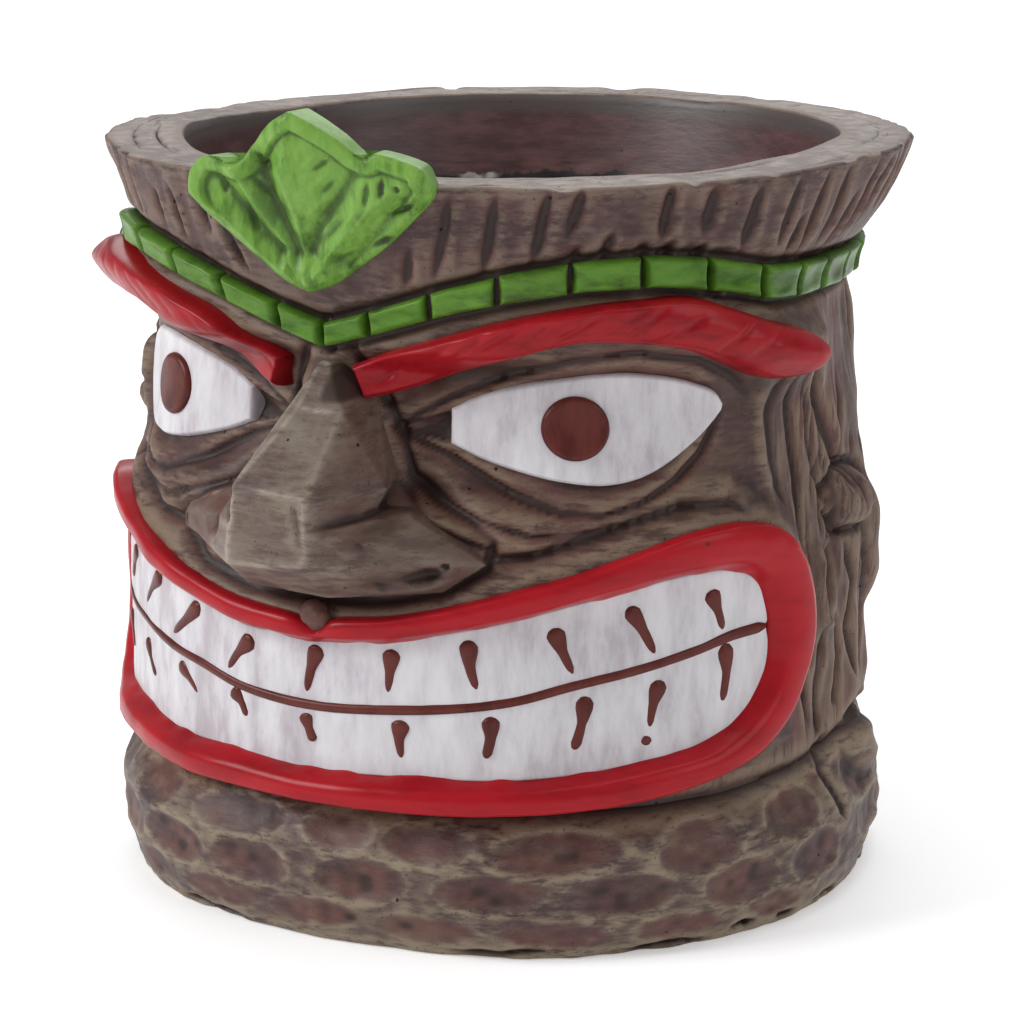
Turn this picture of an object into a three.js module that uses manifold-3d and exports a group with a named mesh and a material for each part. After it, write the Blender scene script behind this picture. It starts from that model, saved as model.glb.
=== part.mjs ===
// Tiki mug: a handleless cast vessel shaped like a carved tree-trunk head. The vessel is one hollow body,
// and each raised, separately painted feature seated on its wall is a piece of its own: nose, brows, eyes,
// pupils, lips, teeth, the tiles of the headband, and the leaf.
// Millimetres and degrees. +Z is up, the origin is the centre of the underside, and the face looks along -Y.
// Angles run round the vessel from the middle of the face towards +X, and left and right are the face's own.
import * as THREE from 'three';
import { mergeVertices } from 'three/addons/utils/BufferGeometryUtils.js';
import { ConvexGeometry } from 'three/addons/geometries/ConvexGeometry.js';
import Module from 'manifold-3d';

// Driving dimensions: heights
const mugHeight = 129;
const footHeight = 24;
const crownHeight = 25;
const floorThickness = 8;

// Driving dimensions: radii and widths of the vessel
const baseRadius = 63.5;
const footRadius = 67;
const headRadius = 63.5;
const neckRadius = 60;
const rimRadius = 70;
const rimWidth = 12.6;
const neckWall = 7.5;
const lowerWall = 14;
const floorFillet = 4;

// Driving dimensions: how far the carving stands out of, or sinks into, the round wall
const faceBulge = 3;
const footBulge = 3.5;
const browRidge = 9;
const socketDepth = 7;
const eyeThickness = 1.6;
const pupilThickness = 0.9;
const lipHeight = 6.5;
const teethHeight = 3;
const browThickness = 3.6;
const tileHeight = 2.2;
const leafThickness = 2.4;
const leafMidrib = 1.8;

// Clearances between neighbouring pieces
const seatGap = 0.3;
const teethGap = 0.8;
const biteGap = 0.6;
const tileGap = 1.1;

const headHeight = mugHeight - footHeight - crownHeight;
const neckHeight = footHeight + headHeight;
const segments = 72;

// The relief is drawn on a mug with these levels, and level() moves a drawn height to the real one
const drawn = { foot: 24, neck: 104, rim: 129 };

function level(height) {
  if (height < drawn.foot) return (height * footHeight) / drawn.foot;
  if (height < drawn.neck) {
    return footHeight + ((height - drawn.foot) * headHeight) / (drawn.neck - drawn.foot);
  }
  return neckHeight + ((height - drawn.neck) * crownHeight) / (drawn.rim - drawn.neck);
}

// Reads a value off a list of [position, value] points, straight between them and level beyond them
function along(points, position) {
  if (position <= points[0][0]) return points[0][1];
  for (let i = 1; i < points.length; i += 1) {
    const [from, low] = points[i - 1];
    const [to, high] = points[i];
    if (position <= to) return THREE.MathUtils.mapLinear(position, from, to, low, high);
  }
  return points[points.length - 1][1];
}

const bell = (distance, width) => Math.exp(-((distance / width) ** 2));

// The wall: a round trunk with a swollen face, brow ridges that stand out towards their tips, and sunk
// sockets behind the eyes
const trunk = [
  [0, baseRadius], [3, baseRadius + 2], [8, footRadius], [18, footRadius], [24, headRadius - 0.5],
  [30, headRadius], [68, headRadius], [76, neckRadius + 1.5], [88, neckRadius + 0.5],
  [drawn.neck, neckRadius], [drawn.rim, rimRadius],
];
const swelling = [
  [0, footBulge], [20, footBulge], [26, 1], [66, 1], [78, faceBulge], [104, faceBulge - 1], [118, 2], [129, 0],
];
const swellingRound = [[0, 0.3], [8, 0.3], [30, 1], [62, 1], [98, 0]];
const browLine = [[7, 95.5], [20, 101.5], [30, 105.4], [47, 107.5], [62, 103.5], [76, 99]];
const browRise = [[8, 0], [25, 0.2], [45, 0.45], [66, 0.95], [74, 1], [90, 0]];
const socketRound = [[4, 0.3], [17, 1], [24, 0.9], [40, 0.36], [56, 0.1], [66, 0]];
const socketUp = [[74, 0], [78, 1], [98, 1], [101, 0]];

function wallRadius(angle, height) {
  const side = Math.abs(angle);
  const ridge = browRidge * along(browRise, side) * bell(height - along(browLine, side), 6);
  const socket = socketDepth * along(socketRound, side) * along(socketUp, height);
  return along(trunk, height) + along(swelling, height) * along(swellingRound, side) + ridge - socket;
}

// Turned body whose outer side follows the wall. The profile runs from the axis out along the underside,
// up the wall, and back to the axis through the points of inside
function turnedBody(inside, growth) {
  const rings = [0, 3, 8, 18, 22, 24, 28, 46, 62, 70, 76, 80, 86, 92, 96, 99, 102, 104, 107, 111, 119, 129];
  const profile = [new THREE.Vector2(0, -growth)];
  rings.forEach((height) => profile.push(new THREE.Vector2(1, level(height))));
  profile[1].y = -growth;
  profile[rings.length].y = mugHeight + growth;
  inside.forEach(([radius, z]) => profile.push(new THREE.Vector2(radius, z)));
  const geometry = new THREE.LatheGeometry(profile, segments);
  const position = geometry.attributes.position;
  for (let turn = 0; turn <= segments; turn += 1) {
    const phi = ((turn % segments) / segments) * 360;
    const angle = phi > 180 ? phi - 360 : phi;
    rings.forEach((height, ring) => {
      const radius = wallRadius(angle, height) + growth;
      const index = turn * profile.length + ring + 1;
      const theta = THREE.MathUtils.degToRad(phi);
      position.setXYZ(index, radius * Math.sin(theta), position.getY(index), radius * Math.cos(theta));
    });
  }
  return closed(geometry.rotateX(Math.PI / 2));
}

// Welds a geometry's corners, drops empty triangles and turns its faces outwards
function closed(geometry) {
  geometry.deleteAttribute('normal');
  geometry.deleteAttribute('uv');
  const welded = mergeVertices(geometry, 1e-4);
  const corners = Array.from(welded.index.array);
  const position = welded.attributes.position;
  const kept = [];
  let volume = 0;
  const [a, b, c] = [new THREE.Vector3(), new THREE.Vector3(), new THREE.Vector3()];
  for (let i = 0; i < corners.length; i += 3) {
    const triangle = corners.slice(i, i + 3);
    if (new Set(triangle).size === 3) {
      kept.push(triangle);
      a.fromBufferAttribute(position, triangle[0]);
      b.fromBufferAttribute(position, triangle[1]);
      c.fromBufferAttribute(position, triangle[2]);
      volume += a.dot(b.cross(c));
    }
  }
  if (volume < 0) kept.forEach((triangle) => triangle.reverse());
  welded.setIndex(kept.flat());
  return welded;
}

const place = (angle, radius, z) => {
  const theta = THREE.MathUtils.degToRad(angle);
  return new THREE.Vector3(radius * Math.sin(theta), -radius * Math.cos(theta), z);
};

// A plate bent round the vessel between two edges, each a list of [angle, height] with as many points. Its
// back is at the radius base(angle, height), and its front stands rise(share) off that, where share runs
// from 0 at the lower edge to 1 at the upper one. With ring set, its ends meet.
function plate(lower, upper, { rise, base, across = 4, ring = false, fine = 1 }) {
  const spans = ring ? lower.length : lower.length - 1;
  const columns = ring ? spans * fine : spans * fine + 1;
  const edgePoint = (edge, column) => {
    const from = edge[Math.floor(column / fine) % edge.length];
    const to = edge[(Math.floor(column / fine) + 1) % edge.length];
    const part = (column % fine) / fine;
    return part === 0 ? from : [0, 1].map((i) => THREE.MathUtils.lerp(from[i], to[i], part));
  };
  const surface = (front) => Array.from({ length: columns }, (_, column) => {
    const low = edgePoint(lower, column);
    const high = edgePoint(upper, column);
    return Array.from({ length: across + 1 }, (__, row) => {
      const share = row / across;
      const angle = THREE.MathUtils.lerp(low[0], high[0], share);
      const height = THREE.MathUtils.lerp(low[1], high[1], share);
      const seat = base(angle, height);
      return place(angle, front ? seat + rise(share) : seat, level(height));
    });
  });
  const faces = [];
  const quad = (p, q, r, s) => faces.push(p, q, r, p, r, s);
  const outside = surface(true);
  const back = surface(false);
  for (let i = 0; i < (ring ? columns : columns - 1); i += 1) {
    const next = (i + 1) % columns;
    for (let j = 0; j < across; j += 1) {
      quad(outside[i][j], outside[next][j], outside[next][j + 1], outside[i][j + 1]);
      quad(back[i][j + 1], back[next][j + 1], back[next][j], back[i][j]);
    }
    quad(back[i][0], back[next][0], outside[next][0], outside[i][0]);
    quad(outside[i][across], outside[next][across], back[next][across], back[i][across]);
  }
  if (!ring) {
    const last = columns - 1;
    for (let j = 0; j < across; j += 1) {
      quad(back[0][j], outside[0][j], outside[0][j + 1], back[0][j + 1]);
      quad(back[last][j + 1], outside[last][j + 1], outside[last][j], back[last][j]);
    }
  }
  return closed(new THREE.BufferGeometry().setFromPoints(faces));
}

// Solids for cutting and joining
const wasm = await Module();
wasm.setup();

function solid(geometry) {
  const shape = closed(geometry);
  return new wasm.Manifold(new wasm.Mesh({
    numProp: 3,
    vertProperties: new Float32Array(shape.attributes.position.array),
    triVerts: new Uint32Array(shape.index.array),
  }));
}

function geometryOf(manifold) {
  const mesh = manifold.getMesh();
  const geometry = new THREE.BufferGeometry();
  geometry.setAttribute('position', new THREE.BufferAttribute(mesh.vertProperties, 3));
  geometry.setIndex(new THREE.BufferAttribute(mesh.triVerts, 1));
  return geometry;
}

// The trunk without its bore, a seat gap larger all round: what is cut with it seats on the wall
const trunkCore = solid(turnedBody([[0, mugHeight + seatGap]], seatGap));
const seated = (manifold) => geometryOf(manifold.subtract(trunkCore));

// A plate made with its back sunk below the wall, then cut to it
function seatedPlate(lower, upper, options) {
  const sunk = 1.5;
  return seated(solid(plate(lower, upper, {
    ...options,
    base: (angle, height) => wallRadius(angle, height) - sunk,
    rise: (share) => sunk + seatGap + options.rise(share),
  })));
}

const group = new THREE.Group();

function add(name, geometry, color, roughness) {
  const mesh = new THREE.Mesh(geometry, new THREE.MeshStandardMaterial({ color, roughness, metalness: 0 }));
  mesh.name = name;
  group.add(mesh);
}

const bark = 0x5f5245;
const red = 0xa31c26;
const white = 0xdadade;
const brown = 0x6b3a35;
const green = 0x6cb043;

// Vessel: a flat floor, a filleted bore that widens to the mouth, and the broad flat rim
function vessel() {
  const bore = [
    [rimRadius - rimWidth, mugHeight],
    [neckRadius - neckWall, neckHeight],
    [headRadius - lowerWall, floorThickness + floorFillet],
    [headRadius - lowerWall - floorFillet * 0.3, floorThickness + floorFillet * 0.3],
    [headRadius - lowerWall - floorFillet, floorThickness],
    [0, floorThickness],
  ];
  return turnedBody(bore, 0);
}

// Nose: a faceted bridge and a pair of spread wings, joined, and hollowed at the back to seat on the wall.
// Each corner is [angle, distance out from the head's radius, height]
function nose() {
  const buried = -12;
  const bridge = [
    [0.9, -1.2, 99.7], [-1.6, -1.2, 99.7], [6.2, 4.9, 91.9], [-1.9, 4.9, 91.9], [5.9, 17.1, 79.5],
    [-4, 17.1, 80.6], [5.3, 17.4, 68.1], [-4.8, 17.4, 67.6], [12.2, 2.6, 79], [-10.8, 2.6, 80],
    [5.2, 8, 62.2], [-7.6, 9, 63.3], [5, buried, 97], [-4, buried, 97], [10.5, buried, 80],
    [-10.5, buried, 80], [8, buried, 63], [-8, buried, 63],
  ];
  const wings = [
    [5.3, 17.4, 68.1], [-4.8, 17.4, 67.6], [5.6, 17.2, 74], [-4.6, 17.2, 74], [26.6, 5.2, 68.8],
    [-24.3, 5.2, 69.2], [15.4, 4.2, 75.2], [-16, 4, 75.6], [20.7, 4.2, 64.1], [-17.6, 4.2, 64.3],
    [5.2, 8, 62.2], [-7.6, 9, 63.3], [22, buried, 70], [-22, buried, 70], [16, buried, 65],
    [-16, buried, 65], [15, buried, 75], [-15, buried, 75],
  ];
  const hull = (corners) => solid(new ConvexGeometry(
    corners.map(([angle, out, height]) => place(angle, headRadius + out, level(height)))));
  return seated(hull(bridge).add(hull(wings)));
}

const onSide = (side, points) => points.map(([angle, height]) => [side * angle, height]);

// Brow: a slab that rises from the root of the nose and ends in a beak at the temple, cut to the ridge
// under it
function brow(side) {
  const lower = [[8.3, 93.4], [11.5, 94.8], [20.7, 98.5], [30, 101.9], [38.9, 103.4], [47.2, 103.1], [54.9, 101.6],
    [61.7, 98.4], [67, 95.8], [70.8, 95], [74.8, 96.3], [76.6, 98.4]];
  const upper = [[5.9, 98], [10.8, 100], [20.7, 104.6], [30, 108.7], [38.9, 110.4], [47.2, 110.9], [54.9, 110.2],
    [61.7, 107.7], [67.4, 105.4], [71.8, 104], [75.4, 102.4], [76.9, 100.8]];
  const rise = (share) => browThickness * (1 - 0.25 * (2 * share - 1) ** 4);
  return seatedPlate(onSide(side, lower), onSide(side, upper), { rise });
}

// Eye: a thin almond plate in its socket. Pupil: a round button on the eye
function eye(side) {
  const lower = [[19.9, 85.1], [24.7, 83.1], [30, 81.5], [38.2, 79.6], [44.6, 79.1], [49.2, 80], [56.5, 84.5],
    [60.8, 89.3]];
  const upper = [[19.9, 91.1], [24.7, 93.6], [31, 95.6], [38.2, 97], [44.6, 97.6], [51, 97.2], [58, 95.4],
    [61.4, 91.8]];
  return seatedPlate(onSide(side, lower), onSide(side, upper), { rise: () => eyeThickness, fine: 2 });
}

function pupil(side) {
  const [middle, centre, halfWidth, halfHeight] = [39.9, 89.1, 5.1, 5.3];
  const steps = 8;
  const edge = (sign) => Array.from({ length: steps + 1 }, (_, i) => {
    const turn = (Math.PI * (i + 0.25)) / (steps + 0.5);
    return [side * (middle - halfWidth * Math.cos(turn)), centre + sign * halfHeight * Math.sin(turn)];
  });
  const base = (angle, height) => wallRadius(angle, height) + eyeThickness + 2 * seatGap;
  return plate(edge(-1), edge(1), { rise: () => pupilThickness, base });
}

// Mouth: matching points of the lip's outer and inner edges, down the left half from the middle of the
// upper lip to the middle of the lower one
const lipOuter = [
  [0, 57.4], [12.7, 58.6], [21.3, 60.4], [30, 62.8], [38.7, 65.7], [47.4, 69.1], [55.8, 71.9], [64, 72.3],
  [70, 70.5], [75, 64], [77, 56], [76.7, 48], [74.5, 42], [69, 35], [58, 30.3], [47.4, 27.8], [38.7, 26.9],
  [30, 26.4], [15, 26.2], [0, 26.2],
];
const lipInner = [
  [0, 52.3], [12.1, 53.3], [21, 55.3], [30, 57.6], [39, 60.3], [48, 62.4], [56.7, 63.9], [63, 63.6],
  [66.7, 61.3], [68.6, 57], [69.3, 52.5], [69, 47.5], [67.5, 43.5], [64, 39], [57, 35.2], [48, 33.5],
  [39, 32.2], [30, 31.4], [15, 31.2], [0, 30.6],
];
const biteLine = [[0, 40.9], [12, 41.7], [21, 42.8], [30, 44.3], [39, 46.9], [48, 48.8], [57, 51], [68, 53.2]];
const wholeLoop = (half) => [...half, ...onSide(-1, half.slice(1, -1)).reverse()];

function lips() {
  const rise = (share) => lipHeight * (1 - 0.35 * (2 * share - 1) ** 4);
  return seatedPlate(wholeLoop(lipInner), wholeLoop(lipOuter), { rise, ring: true, fine: 2 });
}

function teeth(row) {
  const widest = lipInner.findIndex(([angle]) => angle > 69);
  const upperEdge = lipInner.slice(0, widest + 1);
  const lowerEdge = lipInner.slice(widest).reverse();
  const end = 68;
  const steps = 34;
  const angles = Array.from({ length: steps + 1 }, (_, i) => -end + (2 * end * i) / steps);
  const edge = (points, shift) => angles.map((angle) => [angle, along(points, Math.abs(angle)) + shift]);
  const rise = () => teethHeight;
  const [low, high] = row === 'upper'
    ? [edge(biteLine, biteGap / 2), edge(upperEdge, -teethGap)]
    : [edge(lowerEdge, teethGap), edge(biteLine, -biteGap / 2)];
  return seatedPlate(low, high, { rise, across: 2 });
}

// Headband: tiles side by side right round the head, dipping in a V over the nose. Two short ones meet at
// the middle of the face, the rest are alike, and two wider ones meet at the back
const bandMiddle = [[0, 102.7], [10, 105.9], [20, 109.6], [30, 112.6], [40, 114.5], [50, 114.9], [60, 113.5],
  [70, 111], [80, 110], [100, 109.4], [180, 109.4]];
const bandHalfHeight = [[0, 2.1], [50, 2.6], [80, 3]];
const firstTile = 8;
const tilePitch = 10;
const sideTiles = 16;

function bandTile(from, to) {
  const trim = THREE.MathUtils.radToDeg(tileGap / 2 / neckRadius);
  const steps = 3;
  const edge = (sign) => Array.from({ length: steps + 1 }, (_, i) => {
    const angle = THREE.MathUtils.lerp(from + trim, to - trim, i / steps);
    const side = Math.abs(angle);
    return [angle, along(bandMiddle, side) + sign * along(bandHalfHeight, side)];
  });
  const rise = (share) => tileHeight * (1 - 0.3 * (2 * share - 1) ** 4);
  return seatedPlate(edge(-1), edge(1), { rise, across: 3 });
}

// Leaf: three lobes on the front of the crown, standing above the rim, with a raised midrib
function leaf() {
  const right = [[-0.5, 110.5], [-2.9, 111.2], [-7.3, 114.5], [-10.7, 116.9], [-15, 120.9], [-17.3, 123.5],
    [-17.6, 126.9], [-16.3, drawn.rim], [-12.6, 133.1], [-7.1, 133.1], [-4.3, 134.6], [-1.4, 137.7], [2.4, 140.9]];
  const left = [[1.5, 110.5], [3.9, 111.6], [8.1, 113.9], [11, 116.8], [14.4, 120], [17.2, 123], [19.8, 127.4],
    [20.1, drawn.rim], [18.7, 133.1], [11.5, 134.3], [10.2, 135.3], [7.3, 137.5], [3.2, 140.9]];
  const base = (angle, height) => wallRadius(angle, Math.min(height, drawn.rim)) + seatGap;
  const rise = (share) => leafThickness + leafMidrib * (1 - Math.abs(2 * share - 1));
  return seated(solid(plate(right, left, { rise, base })));
}

add('pot_shell', vessel(), bark, 0.75);
add('nose', nose(), bark, 0.75);
for (const [name, side] of [['left', 1], ['right', -1]]) {
  add(`brow_${name}`, brow(side), red, 0.3);
  add(`eye_${name}`, eye(side), white, 0.4);
  add(`pupil_${name}`, pupil(side), brown, 0.35);
}
add('lips', lips(), red, 0.3);
add('teeth_upper', teeth('upper'), white, 0.4);
add('teeth_lower', teeth('lower'), white, 0.4);
for (const [name, side] of [['left', 1], ['right', -1]]) {
  for (let i = 0; i < sideTiles + 2; i += 1) {
    const from = i === 0 ? 0 : firstTile + tilePitch * (i - 1);
    const to = i > sideTiles ? 180 : firstTile + tilePitch * i;
    const number = String(i + 1).padStart(2, '0');
    const tile = side > 0 ? bandTile(from, to) : bandTile(-to, -from);
    add(`band_tile_${name}_${number}`, tile, green, 0.35);
  }
}
add('leaf', leaf(), green, 0.35);

export default group;
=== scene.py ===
import math

import bpy
import numpy as np
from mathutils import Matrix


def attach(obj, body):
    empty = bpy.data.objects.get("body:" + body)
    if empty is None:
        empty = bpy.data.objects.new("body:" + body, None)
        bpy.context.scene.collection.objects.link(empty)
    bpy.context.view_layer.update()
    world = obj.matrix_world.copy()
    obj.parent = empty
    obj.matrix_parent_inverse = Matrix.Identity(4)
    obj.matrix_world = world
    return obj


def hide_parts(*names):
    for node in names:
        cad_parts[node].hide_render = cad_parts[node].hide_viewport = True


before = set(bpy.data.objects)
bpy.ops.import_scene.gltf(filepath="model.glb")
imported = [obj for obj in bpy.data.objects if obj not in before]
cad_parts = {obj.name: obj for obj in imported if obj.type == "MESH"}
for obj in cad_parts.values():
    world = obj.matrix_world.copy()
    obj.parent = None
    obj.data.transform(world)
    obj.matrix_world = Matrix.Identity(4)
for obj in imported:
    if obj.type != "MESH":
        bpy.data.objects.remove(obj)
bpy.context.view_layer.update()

bpy.context.scene.view_settings.view_transform = "Standard"

# The trunk: a hollow log of cast resin, turned on a moulder's form and then carved by hand with folds, bark
# and tool marks. It is made in four skins that meet in the carving: foot, head, crown and the inside.
# Every point of it is an angle round the log (0 faces front, in degrees), a radius and a height in mm.
MM = 0.001
MIDDLE_RADIUS = 64
SKIN = math.pi * MIDDLE_RADIUS / 180      # mm of skin for each degree round the log
HEAD_RADIUS = 63.5
RIM_HEIGHT, BORE_MOUTH, RIM_OUTSIDE = 129.0, 57.4, 70.0
FLOOR_HEIGHT = 8.0
MARKS = ("dark", "warm", "pale", "face")  # what the carver tells the painter about each point


def along(points, place, soft=0.0):
    """A course read at any place, with its corners rounded over soft."""
    places, values = np.transpose(np.asarray(points, float))
    if not soft:
        return np.interp(place, places, values)
    fine = np.arange(places[0] - 5 * soft, places[-1] + 5 * soft, soft / 4)
    bell = np.exp(-0.5 * (np.arange(-12, 13) / 4) ** 2)
    rounded = np.convolve(np.interp(fine, places, values), bell / bell.sum(), "same")
    return np.interp(place, fine[12:-12], rounded[12:-12])


def step_up(low, high, value):
    share = np.clip((value - low) / (high - low), 0, 1)
    return share * share * (3 - 2 * share)


def mottle(angle, height, round_mm, up_mm, seed):
    """Smooth chance unevenness between -1 and 1, with patches of a given size, that closes round the log."""
    across = max(4, round(2 * math.pi * MIDDLE_RADIUS / round_mm))
    lattice = np.random.default_rng(seed).uniform(-1, 1, (int(190 / up_mm) + 4, across))
    x = (np.asarray(angle) / 360 % 1) * across
    y = (np.asarray(height) + 20) / up_mm
    i, j = np.floor(x).astype(int), np.clip(np.floor(y).astype(int), 0, lattice.shape[0] - 2)
    fx, fy = x - i, np.clip(y - j, 0, 1)
    fx, fy = fx * fx * (3 - 2 * fx), fy * fy * (3 - 2 * fy)
    left, right = i % across, (i + 1) % across
    low = lattice[j, left] * (1 - fx) + lattice[j, right] * fx
    high = lattice[j + 1, left] * (1 - fx) + lattice[j + 1, right] * fx
    return low * (1 - fy) + high * fy


def brow_raise(angle):
    """How much higher the face's right brow is carved than its left."""
    return np.where(angle < 0, 4.5 * step_up(42, 72, -angle), 0.0)


def mouth_drop(angle):
    return np.where(angle < 0, 2.5 * step_up(40, 68, -angle), 0.0)


def wall(angle, height):
    """The log's own round before the fine carving: a foot, a belly, a pinched neck and a flared crown."""
    angle, height = np.asarray(angle, float), np.asarray(height, float)
    side = np.abs(angle)
    log = along([(0, 63.5), (3, 65.5), (8, 67), (18, 67), (24, 63), (30, 63.5), (68, 63.5), (76, 61.5),
                 (88, 60.5), (104, 60), (129, 70)], height, 1.5)
    swelling = along([(0, 3.5), (20, 3.5), (26, 1), (66, 1), (78, 3), (104, 2), (118, 2),
                      (129, 0)], height, 2)
    swollen = along([(0, 0.3), (8, 0.3), (30, 1), (62, 1), (98, 0)], side, 3)
    brow_line = along([(7, 95.5), (20, 101.5), (30, 105.4), (47, 107.5), (62, 103.5), (76, 99)], side, 2)
    brow_rise = along([(8, 0), (25, 0.2), (45, 0.45), (66, 0.95), (74, 1), (90, 0)], side, 2)
    socket_round = along([(4, 0.3), (17, 1), (24, 0.9), (40, 0.36), (56, 0.1), (66, 0)], side, 2)
    socket_up = along([(74, 0), (78, 1), (98, 1), (101, 0)], height, 1)
    over_brow = height - brow_line - brow_raise(angle)
    brow = 9 * brow_rise * np.exp(-(over_brow / np.where((over_brow > 0) & (angle < 0), 4.2, 6)) ** 2)
    behind_band = 3.0 * step_up(66, 90, side) * np.exp(-((height - 110.5) / 6.5) ** 2)
    return log + swelling * swollen + brow - behind_band - 7 * socket_round * socket_up


def curve_through(points, places, even=False):
    """A smooth curve through points, read at shares of its length, or of its number of points."""
    points = np.asarray(points, float)
    gaps = np.hypot(np.diff(points[:, 0]) * SKIN, np.diff(points[:, 1]))
    steps = np.arange(len(points), dtype=float) if even else np.concatenate([[0], np.cumsum(gaps)])
    slope = np.gradient(points, steps, axis=0)
    at = np.asarray(places) * steps[-1]
    i = np.clip(np.searchsorted(steps, at, side="right") - 1, 0, len(points) - 2)
    gap = (steps[i + 1] - steps[i])[:, None]
    x = (at - steps[i])[:, None] / gap
    return ((2 * x**3 - 3 * x**2 + 1) * points[i] + (x**3 - 2 * x**2 + x) * gap * slope[i]
            + (3 * x**2 - 2 * x**3) * points[i + 1] + (x**3 - x**2) * gap * slope[i + 1])


def to_line(skin, path):
    """How far each point lies from a drawn line, in mm."""
    x, y = skin["angle"] * SKIN, skin["height"]
    nearest = np.full(x.shape, 1e9)
    for (a, h), (b, g) in zip(path, path[1:]):
        dx, dy = b * SKIN - a * SKIN, g - h
        t = np.clip(((x - a * SKIN) * dx + (y - h) * dy) / (dx * dx + dy * dy + 1e-12), 0, 1)
        nearest = np.minimum(nearest, np.hypot(x - a * SKIN - t * dx, y - h - t * dy))
    return nearest


def to_outline(skin, outline):
    """How far each point of a plate is from its own closed outline, in mm."""
    return to_line(skin, np.concatenate([outline, outline[:1]]))


lip_outer = [(0, 57.0), (12.7, 58.4), (21.3, 60.6), (30, 63.4), (38.7, 66.1), (47.4, 69.3), (55.8, 71.9),
             (64, 72.3), (70, 70.5), (75, 64), (77, 56), (76.7, 48), (74.5, 41), (69, 34), (58, 29.2),
             (47.4, 26.9), (38.7, 26.0), (30, 25.5), (15, 25.2), (0, 25.2)]


def short_corner(angle):
    """The mouth reaches less far round the face's right cheek than its left."""
    side = np.abs(angle)
    return np.where(np.asarray(angle) < 0, -np.where(side > 45, 45 + 0.80 * (side - 45), side), angle)


def corner_fall(angle, height):
    """How far a point of the mouth's right corner lies below its twin on the left."""
    return float(mouth_drop(angle)) * (0.7 if height >= 66 else -0.5 if height > 57 else 1.0)


def other_cheek(half):
    """One side's outline of the mouth as it runs on the face's right cheek."""
    return [(float(short_corner(-a)), h - corner_fall(-a, h)) for a, h in half]


def both_sides(half):
    """A closed loop from one side's outline, the other side hanging a little lower at its corner."""
    return half + other_cheek(half[-2:0:-1]) + half[:1]


def swell_to_lip(skin):
    """The face swells up to meet the lip, so that the red lies on it and not on a step."""
    outline = curve_through(both_sides(lip_outer), np.linspace(0, 1, 121))
    away = to_outline(skin, outline)
    swell = 4.2 - 1.2 * step_up(35, 60, -skin["angle"])
    skin["radius"] += swell * np.exp(-(away / 3.6) ** 2) * step_up(27, 33, skin["height"])


def from_centre(skin, angle):
    return (skin["angle"] - angle + 180) % 360 - 180


def cut(skin, path, width, depth, dark=0.0, warm=0.0, taper=0.3, blunt=0.1, pale=0.0):
    """Draws a gouge (a depth below zero) or a ridge along a path, and washes it with paint. The dark in a
    gouge is partly the wash and partly painted shade.
    """
    path = np.asarray(path, float)
    offset = from_centre(skin, path[0, 0])
    reach = 3.4 * width
    x_path, y_path = (path[:, 0] - path[0, 0]) * SKIN, path[:, 1]
    near = ((offset * SKIN > x_path.min() - reach) & (offset * SKIN < x_path.max() + reach)
            & (skin["height"] > y_path.min() - reach) & (skin["height"] < y_path.max() + reach))
    if not near.any():
        return
    x, y = offset[near] * SKIN, skin["height"][near]
    lengths = np.concatenate([[0], np.cumsum(np.hypot(np.diff(x_path), np.diff(y_path)))])
    nearest, share = np.full(x.shape, 1e9), np.zeros(x.shape)
    for k in range(len(path) - 1):
        dx, dy = x_path[k + 1] - x_path[k], y_path[k + 1] - y_path[k]
        t = np.clip(((x - x_path[k]) * dx + (y - y_path[k]) * dy) / (dx * dx + dy * dy + 1e-9), 0, 1)
        away = np.hypot(x - x_path[k] - t * dx, y - y_path[k] - t * dy)
        closer = away < nearest
        nearest = np.where(closer, away, nearest)
        share = np.where(closer, (lengths[k] + t * (lengths[k + 1] - lengths[k])) / lengths[-1], share)
    fade = np.clip(np.minimum(share, 1 - share) / taper + blunt, 0, 1) if taper else 1.0
    shape = np.exp(-(nearest / (width * (0.55 + 0.45 * fade))) ** 2) * fade
    skin["radius"][near] += depth * shape
    skin["dark"][near] = np.maximum(skin["dark"][near], dark * shape)
    skin["warm"][near] = np.maximum(skin["warm"][near], warm * np.exp(-(nearest / (width * 2.4)) ** 2) * fade)
    skin["pale"][near] = np.maximum(skin["pale"][near], pale * shape)


def scoop(skin, centre, across, tall, depth, warm=0.0, lean=0.0, dark=0.0):
    """An oval hollow from one push of a gouge, with a sharp rim. A depth below zero is a lump."""
    x = from_centre(skin, centre[0]) * SKIN
    y = skin["height"] - centre[1] - lean * x
    bowl = np.clip(1 - (x / (across / 2)) ** 2 - (y / (tall / 2)) ** 2, 0, 1)
    if depth < 0:
        bowl = bowl * bowl * (3 - 2 * bowl)
    skin["radius"] -= depth * bowl
    skin["warm"] = np.maximum(skin["warm"], warm * np.minimum(1, 1.6 * bowl))
    skin["dark"] = np.maximum(skin["dark"], dark * np.minimum(1, 1.6 * bowl))


def narrower(angle):
    return np.where(angle > 48, 48 + 0.42 * (np.asarray(angle) - 48), angle)


def mirrored(path):
    """The same fold on the other cheek, which is narrower beyond the pupil and not quite level."""
    return [(-float(narrower(a)), h - 0.8 * step_up(20, 60, a)) for a, h in path]


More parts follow.
